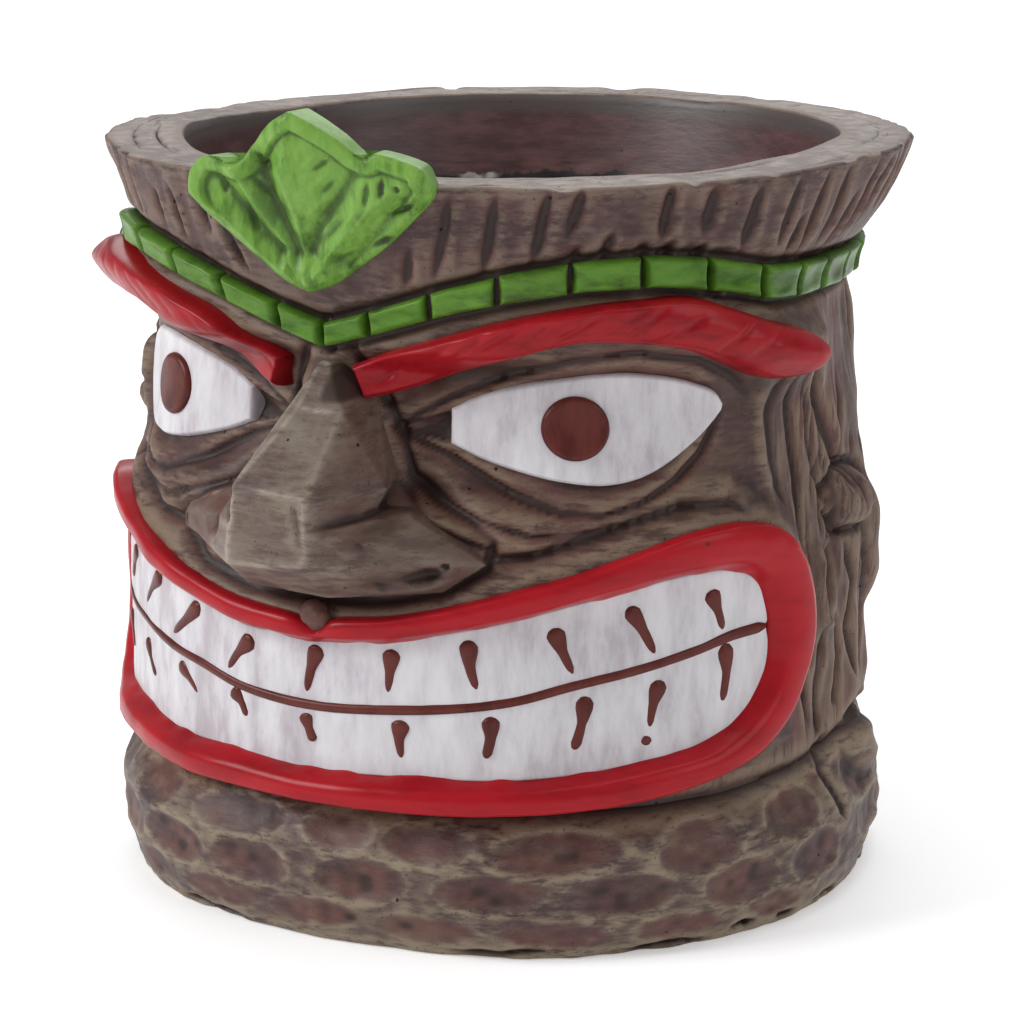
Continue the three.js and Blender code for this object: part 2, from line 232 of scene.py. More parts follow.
def face_folds(skin):
    """The lids, the bags under the eyes, the cheeks and the folds that run down to the lip."""
    upper_lid = [(10, 87.4), (19.6, 92.6), (30, 97.1), (39.6, 100.2), (48.8, 101), (57.8, 99.4), (64.1, 96),
                 (68.1, 92)]
    lid_roll = [(12, 87.8), (20, 91.9), (30, 96), (39.6, 98.9), (49, 99.3), (57.5, 97.4), (63, 94)]
    lower_lid = [(10, 86.4), (19.6, 83.3), (24.9, 80.6), (30, 77.5), (37.7, 74.6), (43.3, 74.6), (48.8, 76.1),
                 (55, 79.7), (59.6, 83.8), (64.1, 90.5)]
    lid_bag = [(14, 86.2), (22, 82.8), (30, 79.6), (38, 77.2), (44, 76.9), (50, 78.4), (56, 82.4), (61, 88)]
    cheek_fold = [(10.2, 80.9), (17, 76.3), (25.3, 73.9), (32.8, 71.6), (41, 72.2), (48.2, 73.6)]
    cheek = [(14, 82), (22, 78), (30, 74.6), (38, 73)]
    under_cheek = [(14, 75.6), (22, 72.4), (30, 70.2), (36, 70)]
    smile = [(25.9, 67.3), (32.7, 68.5), (40.8, 71), (48, 73.5), (55, 75.3), (62.8, 75), (66.1, 72.9)]
    over_smile = [(30, 70.6), (40, 73.2), (48, 76), (55, 78), (63, 78.2), (68, 75)]
    temple = [(70.5, 96), (69.8, 88), (70.4, 80), (72.5, 73)]
    behind_temple = [(74, 97), (73, 88), (73.8, 80), (76, 72)]
    for side in (lambda p: p, mirrored):
        cut(skin, side(lid_roll), 2.0, 1.0, warm=0.7, taper=0.1)
        # the upper lid's crease under the brow is painted dark, as the brow's shadow
        cut(skin, side(upper_lid), 0.7, -1.0, dark=0.75, warm=0.5, taper=0.08)
        cut(skin, side([(8, 90), (14, 95), (20, 98)]), 2.2, -1.0, warm=0.5)
        cut(skin, side(lid_bag), 1.5, 0.8, warm=0.4, taper=0.1)
        cut(skin, side(lower_lid), 0.7, -1.1, dark=0.5, warm=1.0, taper=0.08)
        cut(skin, side(cheek), 1.8, 1.5, taper=0.2)
        cut(skin, side(cheek_fold), 0.7, -0.9, dark=0.42, warm=1.0, taper=0.15)
        cut(skin, side(under_cheek), 1.6, 1.3, taper=0.2)
        cut(skin, side([(11, 79), (17, 73.6), (23, 70.6), (28, 69)]), 0.75, -0.9, dark=0.6, warm=0.9,
            taper=0.15)
        cut(skin, side(over_smile), 2.6, 1.7, taper=0.2)
        cut(skin, side(smile), 0.8, -1.3, dark=0.62, warm=0.8, taper=0.08)
        cut(skin, side(temple), 2.2, 1.6, taper=0.2)
        cut(skin, side(behind_temple), 1.0, -1.2, dark=0.8, taper=0.2)
        # the corner of the eye: a sunk triangle with two tool lines in it
        cut(skin, side([(9.5, 87), (15, 87.2), (21, 88.2)]), 2.2, -1.4, dark=0.35, warm=0.5, taper=0.1)
        cut(skin, side([(9, 87.2), (14, 86.4), (20, 85.6)]), 0.5, -0.7, dark=1.0, taper=0.1)
        cut(skin, side([(10, 87.6), (15, 88.6), (20, 90.2)]), 0.45, -0.6, dark=0.9, taper=0.1)
        cut(skin, side([(8, 92.4), (8.6, 91.6)]), 0.9, -1.2, dark=1.0, taper=0.0)
        # fine lines scratched along the folds with a point
        for shift in (1.7, 3.4):
            cut(skin, side([(a, h + shift) for a, h in cheek_fold[1:]]), 0.5, -0.2, dark=0.3)
            cut(skin, side([(a, h + 0.8 * shift) for a, h in smile[1:-1]]), 0.5, -0.2, dark=0.25)


def right_temple(skin):
    """The swollen, knotty rim of skin outside the face's right eye."""
    cut(skin, [(-61, 97), (-59.5, 92), (-59.5, 87), (-60.5, 82), (-61, 77)], 3.0, 3.2, taper=0.3)
    for angle, height, deep in ((-60, 94, 0.9), (-61, 85, 0.7), (-62, 79, 0.8)):
        cut(skin, [(angle - 4, height - 1), (angle, height), (angle + 5, height + 1)], 0.7, -deep, dark=0.5,
            warm=0.7, taper=0.3)


def nose_bed(skin):
    """The dark line pressed into the face all round the nose."""
    for side in (1, -1):
        cut(skin, [(side * a, h) for a, h in [(3.5, 101.5), (6.5, 97), (9.5, 91), (12, 84), (13.5, 79.5),
                                              (18.5, 76), (24, 73.5), (27.5, 70.5), (26.5, 66.3), (20, 61.8),
                                              (10, 59.6), (0, 58.9)]],
            1.0, -1.3, dark=0.75, warm=0.8, taper=0.0)
    cut(skin, [(-24, 63.2), (-12, 61.4), (0, 60), (12, 60.6), (24, 63.6)], 0.6, -0.5, dark=0.3, taper=0.1)


def bark(skin):
    """Upright cracks and plates of bark on the sides and the back, with knots."""
    chance = np.random.default_rng(11)
    behind = step_up(73, 80, np.abs(skin["angle"]))
    upright = step_up(23, 30, skin["height"]) * (1 - step_up(100, 108, skin["height"]))
    skin["radius"] += behind * upright * (1.1 * mottle(skin["angle"], skin["height"], 7.5, 17, 3)
                                          + 0.4 * mottle(skin["angle"], skin["height"], 3.2, 8, 4)
                                          + 0.12 * mottle(skin["angle"], skin["height"], 1.5, 5, 6))
    skin["warm"] = np.maximum(skin["warm"], behind * upright
                              * np.clip(1.8 * mottle(skin["angle"], skin["height"], 9, 17, 5) - 0.1, 0, 1))
    for k in range(120):
        angle, low = chance.uniform(77, 283), chance.uniform(22, 94)
        length = chance.uniform(7, 34)
        bold = 1.8 if k % 4 == 0 else 1.0
        steps = int(length / 5) + 2
        sway = np.cumsum(chance.normal(0, 0.55 * bold, steps))
        path = [(angle + sway[k], min(low + length * k / (steps - 1), 107)) for k in range(steps)]
        cut(skin, path, chance.uniform(0.42, 0.62) * bold, -chance.uniform(0.3, 0.85) * bold,
            dark=chance.uniform(0.2, 0.62) * bold, warm=chance.uniform(0, 0.8))
    for angle, height, across, tall in ((140, 74, 15, 22), (196, 58, 18, 24), (238, 82, 14, 18),
                                        (262, 52, 15, 22)):
        scoop(skin, (angle, height), across * 1.5, tall * 1.4, -2.4)
        scoop(skin, (angle, height), across * 0.62, tall * 0.62, 2.2, warm=0.7, dark=0.5)
        for ring in (0.55, 0.95):
            turn = np.radians(np.linspace(chance.uniform(-20, 20), 330, 14))
            cut(skin, [(angle + 0.5 * ring * across * math.cos(t) / SKIN,
                        height + 0.5 * ring * tall * math.sin(t))
                       for t in turn], 0.95, -0.9, dark=0.8)
    # beside the mouth: a long bent crack, a pointed plate of bark, a hole and a branch's swollen root
    cut(skin, [(80, 99), (85, 96.5), (87, 90), (91, 82), (95.5, 75), (97, 70)], 1.4, -2.4, dark=1.0, warm=0.5,
        taper=0.1)
    cut(skin, [(77, 96), (79, 86), (80.5, 76), (80, 66), (82, 54), (81, 42), (83, 32)], 1.0, -1.8, dark=0.9,
        taper=0.1)
    cut(skin, [(83, 92), (84.5, 82), (88, 72), (87, 64)], 0.8, -1.3, dark=0.9, taper=0.15)
    scoop(skin, (98, 69), 19, 13, -2.6, lean=-0.15)
    cut(skin, [(88, 70), (94, 75.5), (101, 75), (107, 69.5)], 0.8, -1.8, dark=1.0, taper=0.1)
    cut(skin, [(88, 69), (94, 63.8), (101, 63.6), (107, 68)], 0.8, -1.6, dark=1.0, taper=0.1)
    scoop(skin, (90, 57), 7, 12, 2.6, warm=1.0, dark=0.8)
    cut(skin, [(86, 64), (85.5, 57), (87, 50), (91, 48)], 1.0, 1.3, taper=0.2)
    scoop(skin, (112, 58), 22, 26, -2.6)
    for path in ([(96, 62), (99, 54), (97, 46), (101, 36)], [(104, 61), (106, 52), (110, 46), (108, 36)],
                 [(92, 50), (94, 42), (92, 33)], [(112, 66), (116, 58), (114, 48)],
                 [(87, 48), (86, 38), (88, 29)]):
        cut(skin, path, 1.0, -1.9, dark=1.0, warm=0.4, taper=0.15)
    scoop(skin, (103, 24), 20, 13, -3.0)
    cut(skin, [(90, 29), (86, 23), (88, 15)], 1.0, -2.0, dark=1.0, taper=0.1)
    cut(skin, [(97, 30), (104, 31), (112, 29)], 0.9, -1.8, dark=0.9, taper=0.1)


def crease_height(angle):
    """Where the head meets the foot, in a crease painted black as its painted shadow."""
    return along([(-180, 26), (-150, 27), (-100, 26), (-60, 24.4), (60, 24.4), (84, 26), (100, 28.5),
                  (120, 27.5), (180, 26)], angle, 4)


def foot_hollows(skin):
    """Two rows of gouge marks round the foot, with rims between them that the paint makes pale, partly as
    wear and partly as painted highlight.
    """
    marks = [(-54, 19.5, 13, 7), (-34, 20, 14, 7), (-14, 19.5, 18, 6), (4, 20.3, 12, 6), (18, 19.6, 14, 6),
             (36, 18.6, 20, 6.4), (57, 17.8, 14, 8), (75, 19.3, 13, 7), (-72, 19, 16, 7), (-62, 11.5, 16, 7),
             (-44, 11.5, 17, 7), (-27, 12, 15, 7), (-11, 12, 15, 7), (8, 12.4, 15, 7), (27, 12.2, 16, 6),
             (45, 11.4, 17, 6.6), (64, 10.5, 14, 7.5), (80, 11, 13, 8), (-52, 5, 16, 5), (-34, 5, 15, 5),
             (-17, 5.2, 16, 5), (0, 5.4, 16, 5), (18, 5, 16, 5), (36, 4.6, 17, 5), (54, 4.4, 15, 5),
             (71, 4.6, 12, 5)]
    chance = np.random.default_rng(5)
    for row, (height, tall) in enumerate(((19, 7.5), (11.5, 8), (4.8, 5.5))):
        for k in range(11):
            marks.append((97 + 15.5 * k + 5 * row + chance.uniform(-2, 2), height + chance.uniform(-1, 1),
                          chance.uniform(14, 19), tall * chance.uniform(0.85, 1.15)))
    for angle, height, wide, tall in marks:
        deep = 1.5 if height > 15 else 1.3 if height > 8 else 0.6
        scoop(skin, (angle, height), wide * SKIN, tall * 1.18, deep * chance.uniform(0.85, 1.2), warm=0.8,
              dark=0.3,
              lean=chance.uniform(-0.06, 0.06))
    low = 1 - step_up(24, 27, skin["height"])
    skin["radius"] += low * (0.35 * mottle(skin["angle"], skin["height"], 7, 5, 21)
                             + 0.16 * mottle(skin["angle"], skin["height"], 2.4, 1.8, 22))
    # chips and dark slits knocked out of the bottom edge
    for start, end, height, deep in ((20, 37, 1.2, 1.2), (45, 60, 1.0, 1.4), (63, 68, 2.2, 2.2),
                                     (72, 77, 1.3, 1.2), (82, 90, 1.4, 1.5), (-30, -12, 1.0, 1.0),
                                     (-58, -46, 1.3, 1.2)):
        steps = np.linspace(start, end, 7)
        cut(skin, [(a, height + chance.uniform(-0.5, 0.5)) for a in steps], 0.55, -deep, dark=1.0)
    for _ in range(26):
        angle = chance.uniform(95, 300)
        cut(skin, [(angle, chance.uniform(0.6, 2)), (angle + chance.uniform(3, 9), chance.uniform(0.6, 2.4))],
            0.6,
            -chance.uniform(0.6, 1.4), dark=1.0)


def band_middle(angle):
    return along([(0, 102.7), (10, 105.9), (20, 109.6), (30, 112.6), (40, 114.5), (50, 114.9), (60, 113.5),
                  (70, 111), (80, 110), (100, 109.4), (180, 109.4)], np.abs(angle), 1.0)


def band_half(angle):
    return along([(0, 2.1), (50, 2.6), (80, 3), (180, 3)], np.abs(angle))


def crown_gouges(skin):
    """Short gouges that hang from the rim, some longer, and slits that stand on the headband."""
    marks = [(21, 128, 114), (27, 128, 115), (34, 129, 116), (38.5, 129, 121.5), (51, 129, 120),
             (57.5, 129, 120.5), (65, 128, 117), (72, 128, 117.5), (78, 128, 115), (83, 128, 115),
             (87, 124, 114), (91, 128, 116), (94.5, 128, 118), (15, 119, 111), (43, 121.5, 116.5),
             (52, 119.6, 116), (38.5, 119.4, 116.6), (48, 119.5, 117), (57, 118.5, 116), (75, 122, 115),
             (-14, 120, 112), (-19, 128, 119), (-25, 125, 116), (-30.5, 124, 117.6), (-38.5, 128, 119.6),
             (-45, 129, 120), (-51, 127, 118), (-57, 129, 119), (-63, 128, 116), (-69, 129, 117),
             (-74, 126, 114), (-79, 128, 115), (-85, 128, 117), (-90, 129, 115)]
    chance = np.random.default_rng(9)
    angle = 99.0
    while angle < 267:
        top = chance.uniform(126, 129.5)
        marks.append((angle, top, top - chance.uniform(6, 15)))
        angle += chance.uniform(3.4, 6.6)
    for angle, top, bottom in marks:
        lean = chance.uniform(-0.9, 0.9)
        middle = 0.5 * (top + bottom)
        deep = chance.uniform(0.9, 1.35)
        slant = math.copysign(1.1, angle) if abs(angle) < 110 else 0.3
        cut(skin, [(angle + slant, top + 0.4), (angle + 0.4 * lean, middle), (angle + lean - slant, bottom)],
            chance.uniform(0.85, 1.2), -deep * (1.6 if -90 < angle < 0 else 1.0),
            dark=0.74, warm=1.0, taper=0.42, blunt=0.35 if top > 125 else 0.12)
        cut(skin, [(angle + 1.5, top), (angle + 1.5 + lean, bottom)], 0.7, 0.3)
    for side in (1, -1):
        for over, deep in ((1.2, -1.1), (-1.2, -1.2)):
            path = [(side * a, band_middle(a) + math.copysign(band_half(a) + abs(over) * 0.55, over))
                    for a in np.linspace(0, 179, 90)]
            cut(skin, path, 0.75, deep, dark=1.0, warm=0.3, taper=0.0)
    under_band = np.abs(skin["height"] - band_middle(skin["angle"])) - band_half(skin["angle"])
    skin["dark"] = np.maximum(skin["dark"], 0.95 * step_up(0.9, 0.1, under_band))
    skin["radius"] -= 0.5 * step_up(0.6, -0.2, under_band)
    scoop(skin, (60.5, 110.4), 3.4, 1.9, -1.9, warm=1.0)
    high = step_up(104, 112, skin["height"])
    skin["radius"] += high * (0.3 * mottle(skin["angle"], skin["height"], 4, 16, 31)
                              + 0.14 * mottle(skin["angle"], skin["height"], 1.8, 7, 32))
    lip = step_up(122, 129, skin["height"])
    skin["radius"] += lip * (0.65 * mottle(skin["angle"], 0 * skin["height"], 12, 30, 33)
                             + 0.35 * mottle(skin["angle"], 0 * skin["height"], 3.5, 30, 34)
                             + 0.9 * np.exp(-((skin["angle"] + 57) / 7) ** 2))


def carved(angle, height):
    """The whole outside of the log at these angles and heights, carved and marked for the painter."""
    skin = {"angle": angle, "height": height, "radius": wall(angle, height)}
    for mark_name in MARKS:
        skin[mark_name] = np.zeros(angle.shape)
    skin["radius"] += 0.28 * mottle(angle, height, 9, 9, 1) + 0.1 * mottle(angle, height, 2.6, 2.6, 2)
    bark(skin)
    foot_hollows(skin)
    face_folds(skin)
    right_temple(skin)
    swell_to_lip(skin)
    nose_bed(skin)
    crown_gouges(skin)
    skin["face"] = step_up(76, 68, np.abs(angle)) * step_up(26, 30, height)
    crease = np.exp(-((height - crease_height(angle)) / 1.5) ** 2)
    skin["radius"] -= 1.6 * crease
    # the crease is painted black: painted shadow in it
    skin["dark"] = np.maximum(skin["dark"], np.exp(-((height - crease_height(angle)) / 1.3) ** 2))
    strip = np.exp(-((height - crease_height(angle) + 2.6) / 1.3) ** 2)
    skin["warm"] = np.maximum(skin["warm"], 0.8 * strip)
    return skin


def round_the_log(columns):
    """Angles right round, closer together on the face and the left side."""
    fine = np.linspace(-180, 180, 3601)
    weight = 1 + 1.3 / ((1 + np.exp(-(fine + 88) / 4)) * (1 + np.exp((fine - 122) / 4)))
    total = np.concatenate([[0], np.cumsum((weight[1:] + weight[:-1]) / 2)])
    return np.interp(np.linspace(0, total[-1], columns + 1), total, fine)


def places(skin):
    turn = np.radians(skin["angle"])
    return np.stack([skin["radius"] * np.sin(turn), -skin["radius"] * np.cos(turn), skin["height"]], -1) * MM


def cast(name, skin):
    """Lays a grid over the rows and columns of a skin, and closes its seams and poles."""
    rows, columns = skin["radius"].shape
    bpy.ops.object.select_all(action="DESELECT")
    bpy.ops.mesh.primitive_grid_add(x_subdivisions=columns - 1, y_subdivisions=rows - 1, size=1)
    piece = bpy.context.object
    piece.name = piece.data.name = name
    mesh = piece.data
    flat = np.empty(len(mesh.vertices) * 3, np.float32)
    mesh.vertices.foreach_get("co", flat)
    flat = flat.reshape(-1, 3)
    column = np.rint((flat[:, 0] + 0.5) * (columns - 1)).astype(int)
    row = np.rint((flat[:, 1] + 0.5) * (rows - 1)).astype(int)
    mesh.vertices.foreach_set("co", places(skin)[row, column].astype(np.float32).ravel())
    for mark_name in MARKS:
        if mark_name in skin:
            layer = mesh.attributes.new(mark_name, "FLOAT", "POINT")
            layer.data.foreach_set("value", skin[mark_name][row, column].astype(np.float32))
    bpy.ops.object.mode_set(mode="EDIT")
    bpy.ops.mesh.select_all(action="SELECT")
    bpy.ops.mesh.remove_doubles(threshold=1e-6)
    bpy.ops.mesh.normals_make_consistent(inside=False)
    bpy.ops.object.mode_set(mode="OBJECT")
    bpy.ops.object.shade_smooth_by_angle(angle=math.radians(75))
    return piece


def mark_hollow_and_proud(piece, passes, depth, keep_dark=True):
    """Marks hollow and proud places by how far each point lies under or over the smoothed skin round it.
    The paints darken the hollow places, partly as painted shade, and lighten the proud ones, partly
    as painted highlight.
    """
    mesh = piece.data
    count = len(mesh.vertices)
    place, normal = np.empty(count * 3, np.float32), np.empty(count * 3, np.float32)
    mesh.vertices.foreach_get("co", place)
    mesh.vertices.foreach_get("normal", normal)
    place, normal = place.reshape(-1, 3).astype(float), normal.reshape(-1, 3)
    ends = np.empty(len(mesh.edges) * 2, np.int32)
    mesh.edges.foreach_get("vertices", ends)
    one, other = ends.reshape(-1, 2).T
    degree = np.bincount(one, minlength=count) + np.bincount(other, minlength=count)
    sunk = np.zeros(count)
    for rounds, deep in zip(passes, depth):
        smooth = place.copy()
        for _ in range(rounds):
            total = np.stack([np.bincount(one, smooth[other, k], count)
                              + np.bincount(other, smooth[one, k], count)
                              for k in range(3)], -1)
            smooth = 0.5 * smooth + 0.5 * total / degree[:, None]
        sunk += ((smooth - place) * normal).sum(1) / (deep * MM)
    marks = {"hollow": np.clip(sunk, 0, 1), "proud": np.clip(-sunk, 0, 1)}
    if keep_dark and "dark" in mesh.attributes:
        dark = np.empty(count, np.float32)
        mesh.attributes["dark"].data.foreach_get("value", dark)
        marks["hollow"] = np.clip(0.75 * marks["hollow"] + 0.8 * dark, 0, 1)
        marks["proud"] = marks["proud"] * (1 - dark)
    for mark_name, values in marks.items():
        layer = mesh.attributes.new(mark_name, "FLOAT", "POINT")
        layer.data.foreach_set("value", values.astype(np.float32))


def node(tree, kind, inputs=None, **settings):
    made = tree.nodes.new(kind)
    for key, value in settings.items():
        setattr(made, key, value)
    for key, value in (inputs or {}).items():
        if isinstance(value, bpy.types.NodeSocket):
            tree.links.new(value, made.inputs[key])
        else:
            made.inputs[key].default_value = value
    return made


def blend(tree, factor, under, over):
    made = node(tree, "ShaderNodeMix", data_type="RGBA")
    for index, value in ((0, factor), (6, under), (7, over)):
        if isinstance(value, bpy.types.NodeSocket):
            tree.links.new(value, made.inputs[index])
        else:
            made.inputs[index].default_value = value if index == 0 else (*value, 1)
    return made.outputs[2]


def sums(tree, kind, first, second=0.0, clamp=False):
    return node(tree, "ShaderNodeMath", {0: first, 1: second}, operation=kind, use_clamp=clamp).outputs[0]


def window(tree, value, low, high):
    """Nothing below low, all above high."""
    made = node(tree, "ShaderNodeMapRange", {"Value": value, "From Min": low, "From Max": high},
                interpolation_type="SMOOTHSTEP")
    return made.outputs[0]


def speckle(tree, vector, scale, detail=3.0, rough=0.55):
    return node(tree, "ShaderNodeTexNoise", {"Vector": vector, "Scale": scale, "Detail": detail,
                                             "Roughness": rough}).outputs[0]


def new_group(name, inputs, outputs):
    """An empty node group with named sockets, and its two ends."""
    tree = bpy.data.node_groups.new(name, "ShaderNodeTree")
    for way, sockets in (("INPUT", inputs), ("OUTPUT", outputs)):
        for socket, kind in sockets.items():
            tree.interface.new_socket(socket, in_out=way, socket_type="NodeSocket" + kind)
    return tree, tree.nodes.new("NodeGroupInput"), tree.nodes.new("NodeGroupOutput")


def brush_group():
    """Bristle streaks laid along one direction: a value about 0.5, and the ridges they leave."""
    tree, start, end = new_group("bristle streaks",
                                 {"Vector": "Vector", "Turn": "Vector", "Stretch": "Vector",
                                                     "Fineness": "Float"},
                                                     {"Streak": "Float", "Patch": "Float"})
    laid = node(tree, "ShaderNodeMapping", {"Vector": start.outputs["Vector"],
                                            "Rotation": start.outputs["Turn"],
                                            "Scale": start.outputs["Stretch"]}).outputs[0]
    fine = speckle(tree, laid, start.outputs["Fineness"], 4, 0.65)
    broad = speckle(tree, laid, sums(tree, "MULTIPLY", start.outputs["Fineness"], 0.16), 2, 0.5)
    tree.links.new(sums(tree, "ADD", sums(tree, "MULTIPLY", fine, 0.65), sums(tree, "MULTIPLY", broad, 0.35)),
                   end.inputs["Streak"])
    tree.links.new(broad, end.inputs["Patch"])
    return tree


def pit_group():
    """Scattered air holes of a casting: one where there is a hole."""
    tree, start, end = new_group("casting pits", {"Vector": "Vector", "Spacing": "Float", "Amount": "Float"},
                                 {"Pit": "Float"})
    cells = node(tree, "ShaderNodeTexVoronoi", {"Vector": start.outputs["Vector"],
                                                "Scale": start.outputs["Spacing"]})
    near = sums(tree, "SUBTRACT", 1.0, window(tree, cells.outputs["Distance"], 0.05, 0.11))
    chance = node(tree, "ShaderNodeSeparateColor", {0: cells.outputs["Color"]}).outputs[0]
    few = sums(tree, "LESS_THAN", chance, start.outputs["Amount"])
    tree.links.new(sums(tree, "MULTIPLY", near, few), end.inputs["Pit"])
    return tree


BRISTLES, PITS = brush_group(), pit_group()


def streaks(tree, vector, turn, stretch, fineness):
    laid = {"Vector": vector, "Turn": turn, "Stretch": stretch, "Fineness": fineness}
    group = node(tree, "ShaderNodeGroup", laid, node_tree=BRISTLES)
    return group.outputs["Streak"], group.outputs["Patch"]


def pits(tree, vector, spacing, amount):
    scattered = {"Vector": vector, "Spacing": spacing, "Amount": amount}
    return node(tree, "ShaderNodeGroup", scattered, node_tree=PITS).outputs["Pit"]


def mark(tree, name):
    return node(tree, "ShaderNodeAttribute", attribute_name=name).outputs["Fac"]


def finish_paint(tree, colour, rough, height, depth_mm, coat=0.0, coat_rough=0.2, specular=0.5):
    """Joins a paint's colour, roughness and bristle relief to its shader."""
    bump = node(tree, "ShaderNodeBump", {"Height": height, "Strength": 1.0,
                                         "Distance": depth_mm * MM}).outputs[0]
    shader = node(tree, "ShaderNodeBsdfPrincipled", {"Base Color": colour, "Roughness": rough, "Normal": bump,
                                                     "Coat Weight": coat, "Coat Roughness": coat_rough,
                                                     "Specular IOR Level": specular})
    out = node(tree, "ShaderNodeOutputMaterial")
    tree.links.new(shader.outputs[0], out.inputs[0])


def new_paint(name):
    paint = bpy.data.materials.new(name)
    paint.use_nodes = True
    paint.node_tree.nodes.clear()
    tree = paint.node_tree
    return paint, tree, node(tree, "ShaderNodeTexCoord").outputs["Object"]


def bark_paint(name, turn, stretch, olive, purple, tan, face=False):
    """Dark wash rubbed into the carving, olive and tan dry-brushed over it, and red-brown in the folds.
    The dark in the hollows and creases is partly the wash and partly painted shade, and the tan on
    raised places partly dry-brush and partly painted highlight.
    """
    dust, red_brown, wash_and_painted_shade = (0.17, 0.145, 0.14), (0.118, 0.042, 0.033), (0.026, 0.015, 0.013)
    fleck_brown, pit_black = (0.025, 0.017, 0.015), (0.008, 0.006, 0.006)
    paint, tree, where = new_paint(name)
    streak, patch = streaks(tree, where, turn, stretch, 900)
    if face:
        level, level_patch = streaks(tree, where, (0.35, 0.2, 0.5), (0.22, 0.22, 1), 900)
        skin_mask = mark(tree, "face")
        streak = node(tree, "ShaderNodeMix", {0: skin_mask, 2: streak, 3: level},
                      data_type="FLOAT").outputs[0]
        patch = node(tree, "ShaderNodeMix", {0: skin_mask, 2: patch, 3: level_patch},
                     data_type="FLOAT").outputs[0]
    cross, _ = streaks(tree, where, (0.3, 0.5, 0.9), (1, 0.25, 1), 520)
    cloud = speckle(tree, where, 75, 4, 0.6)
    grain = speckle(tree, where, 1500, 2, 0.6)
    colour = blend(tree, window(tree, cloud, 0.42, 0.64), purple, olive)
    colour = blend(tree, sums(tree, "MULTIPLY", window(tree, streak, 0.46, 0.64), 0.34), colour, tan)
    colour = blend(tree, sums(tree, "MULTIPLY", window(tree, streak, 0.51, 0.38), 0.5), colour,
                   tuple(0.5 * c for c in purple))
    colour = blend(tree, sums(tree, "MULTIPLY", window(tree, cross, 0.54, 0.7), 0.3), colour, dust)
    # pale tan where marked: dry-brush on the rim, and on the nose's edges partly painted highlight
    dry_brush_and_highlight_tan = blend(tree, window(tree, streak, 0.4, 0.62), (0.120, 0.090, 0.078), (0.27, 0.225, 0.195))
    colour = blend(tree, mark(tree, "pale"), colour, dry_brush_and_highlight_tan)
    red = sums(tree, "MULTIPLY", mark(tree, "warm"), window(tree, patch, 0.3, 0.58))
    colour = blend(tree, sums(tree, "MULTIPLY", red, 0.8), colour, red_brown)
    # pale tan on raised places: partly dry-brush, partly painted highlight
    proud = sums(tree, "MULTIPLY", mark(tree, "proud"), window(tree, streak, 0.36, 0.56))
    colour = blend(tree, sums(tree, "MULTIPLY", proud, 0.85, True), colour, tuple(1.35 * c for c in tan))
    # dark in the hollows and creases: partly the wash, partly painted shade
    hollow = mark(tree, "hollow")
    brushed = sums(tree, "MULTIPLY", sums(tree, "SUBTRACT", streak, 0.5), 0.6)
    shade = window(tree, sums(tree, "ADD", hollow, brushed), 0.25, 0.95)
    colour = blend(tree, sums(tree, "MULTIPLY", shade, 0.9), colour, wash_and_painted_shade)
    fleck = sums(tree, "MULTIPLY", window(tree, grain, 0.36, 0.28), 0.7)
    colour = blend(tree, fleck, colour, fleck_brown)
    hole = pits(tree, where, 300, 0.2)
    colour = blend(tree, hole, colour, pit_black)
    rough = sums(tree, "ADD", 0.40, sums(tree, "MULTIPLY", streak, 0.2))
    relief = sums(tree, "SUBTRACT", sums(tree, "ADD", streak, sums(tree, "MULTIPLY", cross, 0.6)),
                  sums(tree, "MULTIPLY", hole, 1.5))
    finish_paint(tree, colour, rough, relief, 0.25, specular=0.27)
    return paint


upright_bark = bark_paint("bark paint", turn=(0, 0, 0), stretch=(1, 1, 0.12), olive=(0.092, 0.057, 0.040),
                          purple=(0.068, 0.034, 0.031), tan=(0.140, 0.097, 0.067), face=True)
head_columns, head_rows = 672, 142
turns = round_the_log(head_columns)


def bore(height):
    return along([(FLOOR_HEIGHT, 49.4), (12, 49.5), (104, 52.5), (RIM_HEIGHT, BORE_MOUTH)], height)


def stacked(*skins):
    """Rows of several skins, one above the other."""
    return {key: np.concatenate([s[key] for s in skins]) for key in skins[0]}


def plain(columns, rows):
    """Rows of plain turning, each a (radius, height), where either may change round the log."""
    angle = np.tile(columns, (len(rows), 1))
    radius = np.array([r + 0 * columns for r, _ in rows])
    height = np.array([h + 0 * columns for _, h in rows])
    made = {"angle": angle, "height": height, "radius": radius}
    for mark_name in MARKS:
        made[mark_name] = np.zeros(angle.shape)
    return made


def share_rows(low, high, count):
    """Heights between two lines that change round the log."""
    share = np.linspace(0, 1, count)[:, None]
    return low[None] * (1 - share) + high[None] * share


# Head: everything between the foot's crease and the headband, one casting with the rest of the log. Folds are
# carved in its face, and bark with knots and cracks runs round its sides and back.
crease, band = crease_height(turns), band_middle(turns)
outside = carved(np.tile(turns, (head_rows, 1)), share_rows(crease, band, head_rows))
inside_rows = plain(turns, [(bore(band) + 1.5, band), (bore(60) + 1.5, 0.5 * (crease + band)),
                            (bore(crease) + 1.5, crease)])
head = cast("trunk_head", stacked(outside, inside_rows, {k: v[:1] for k, v in outside.items()}))
mark_hollow_and_proud(head, (14, 70), (0.33, 1.15))
head.data.materials.append(upright_bark)
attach(head, "root")

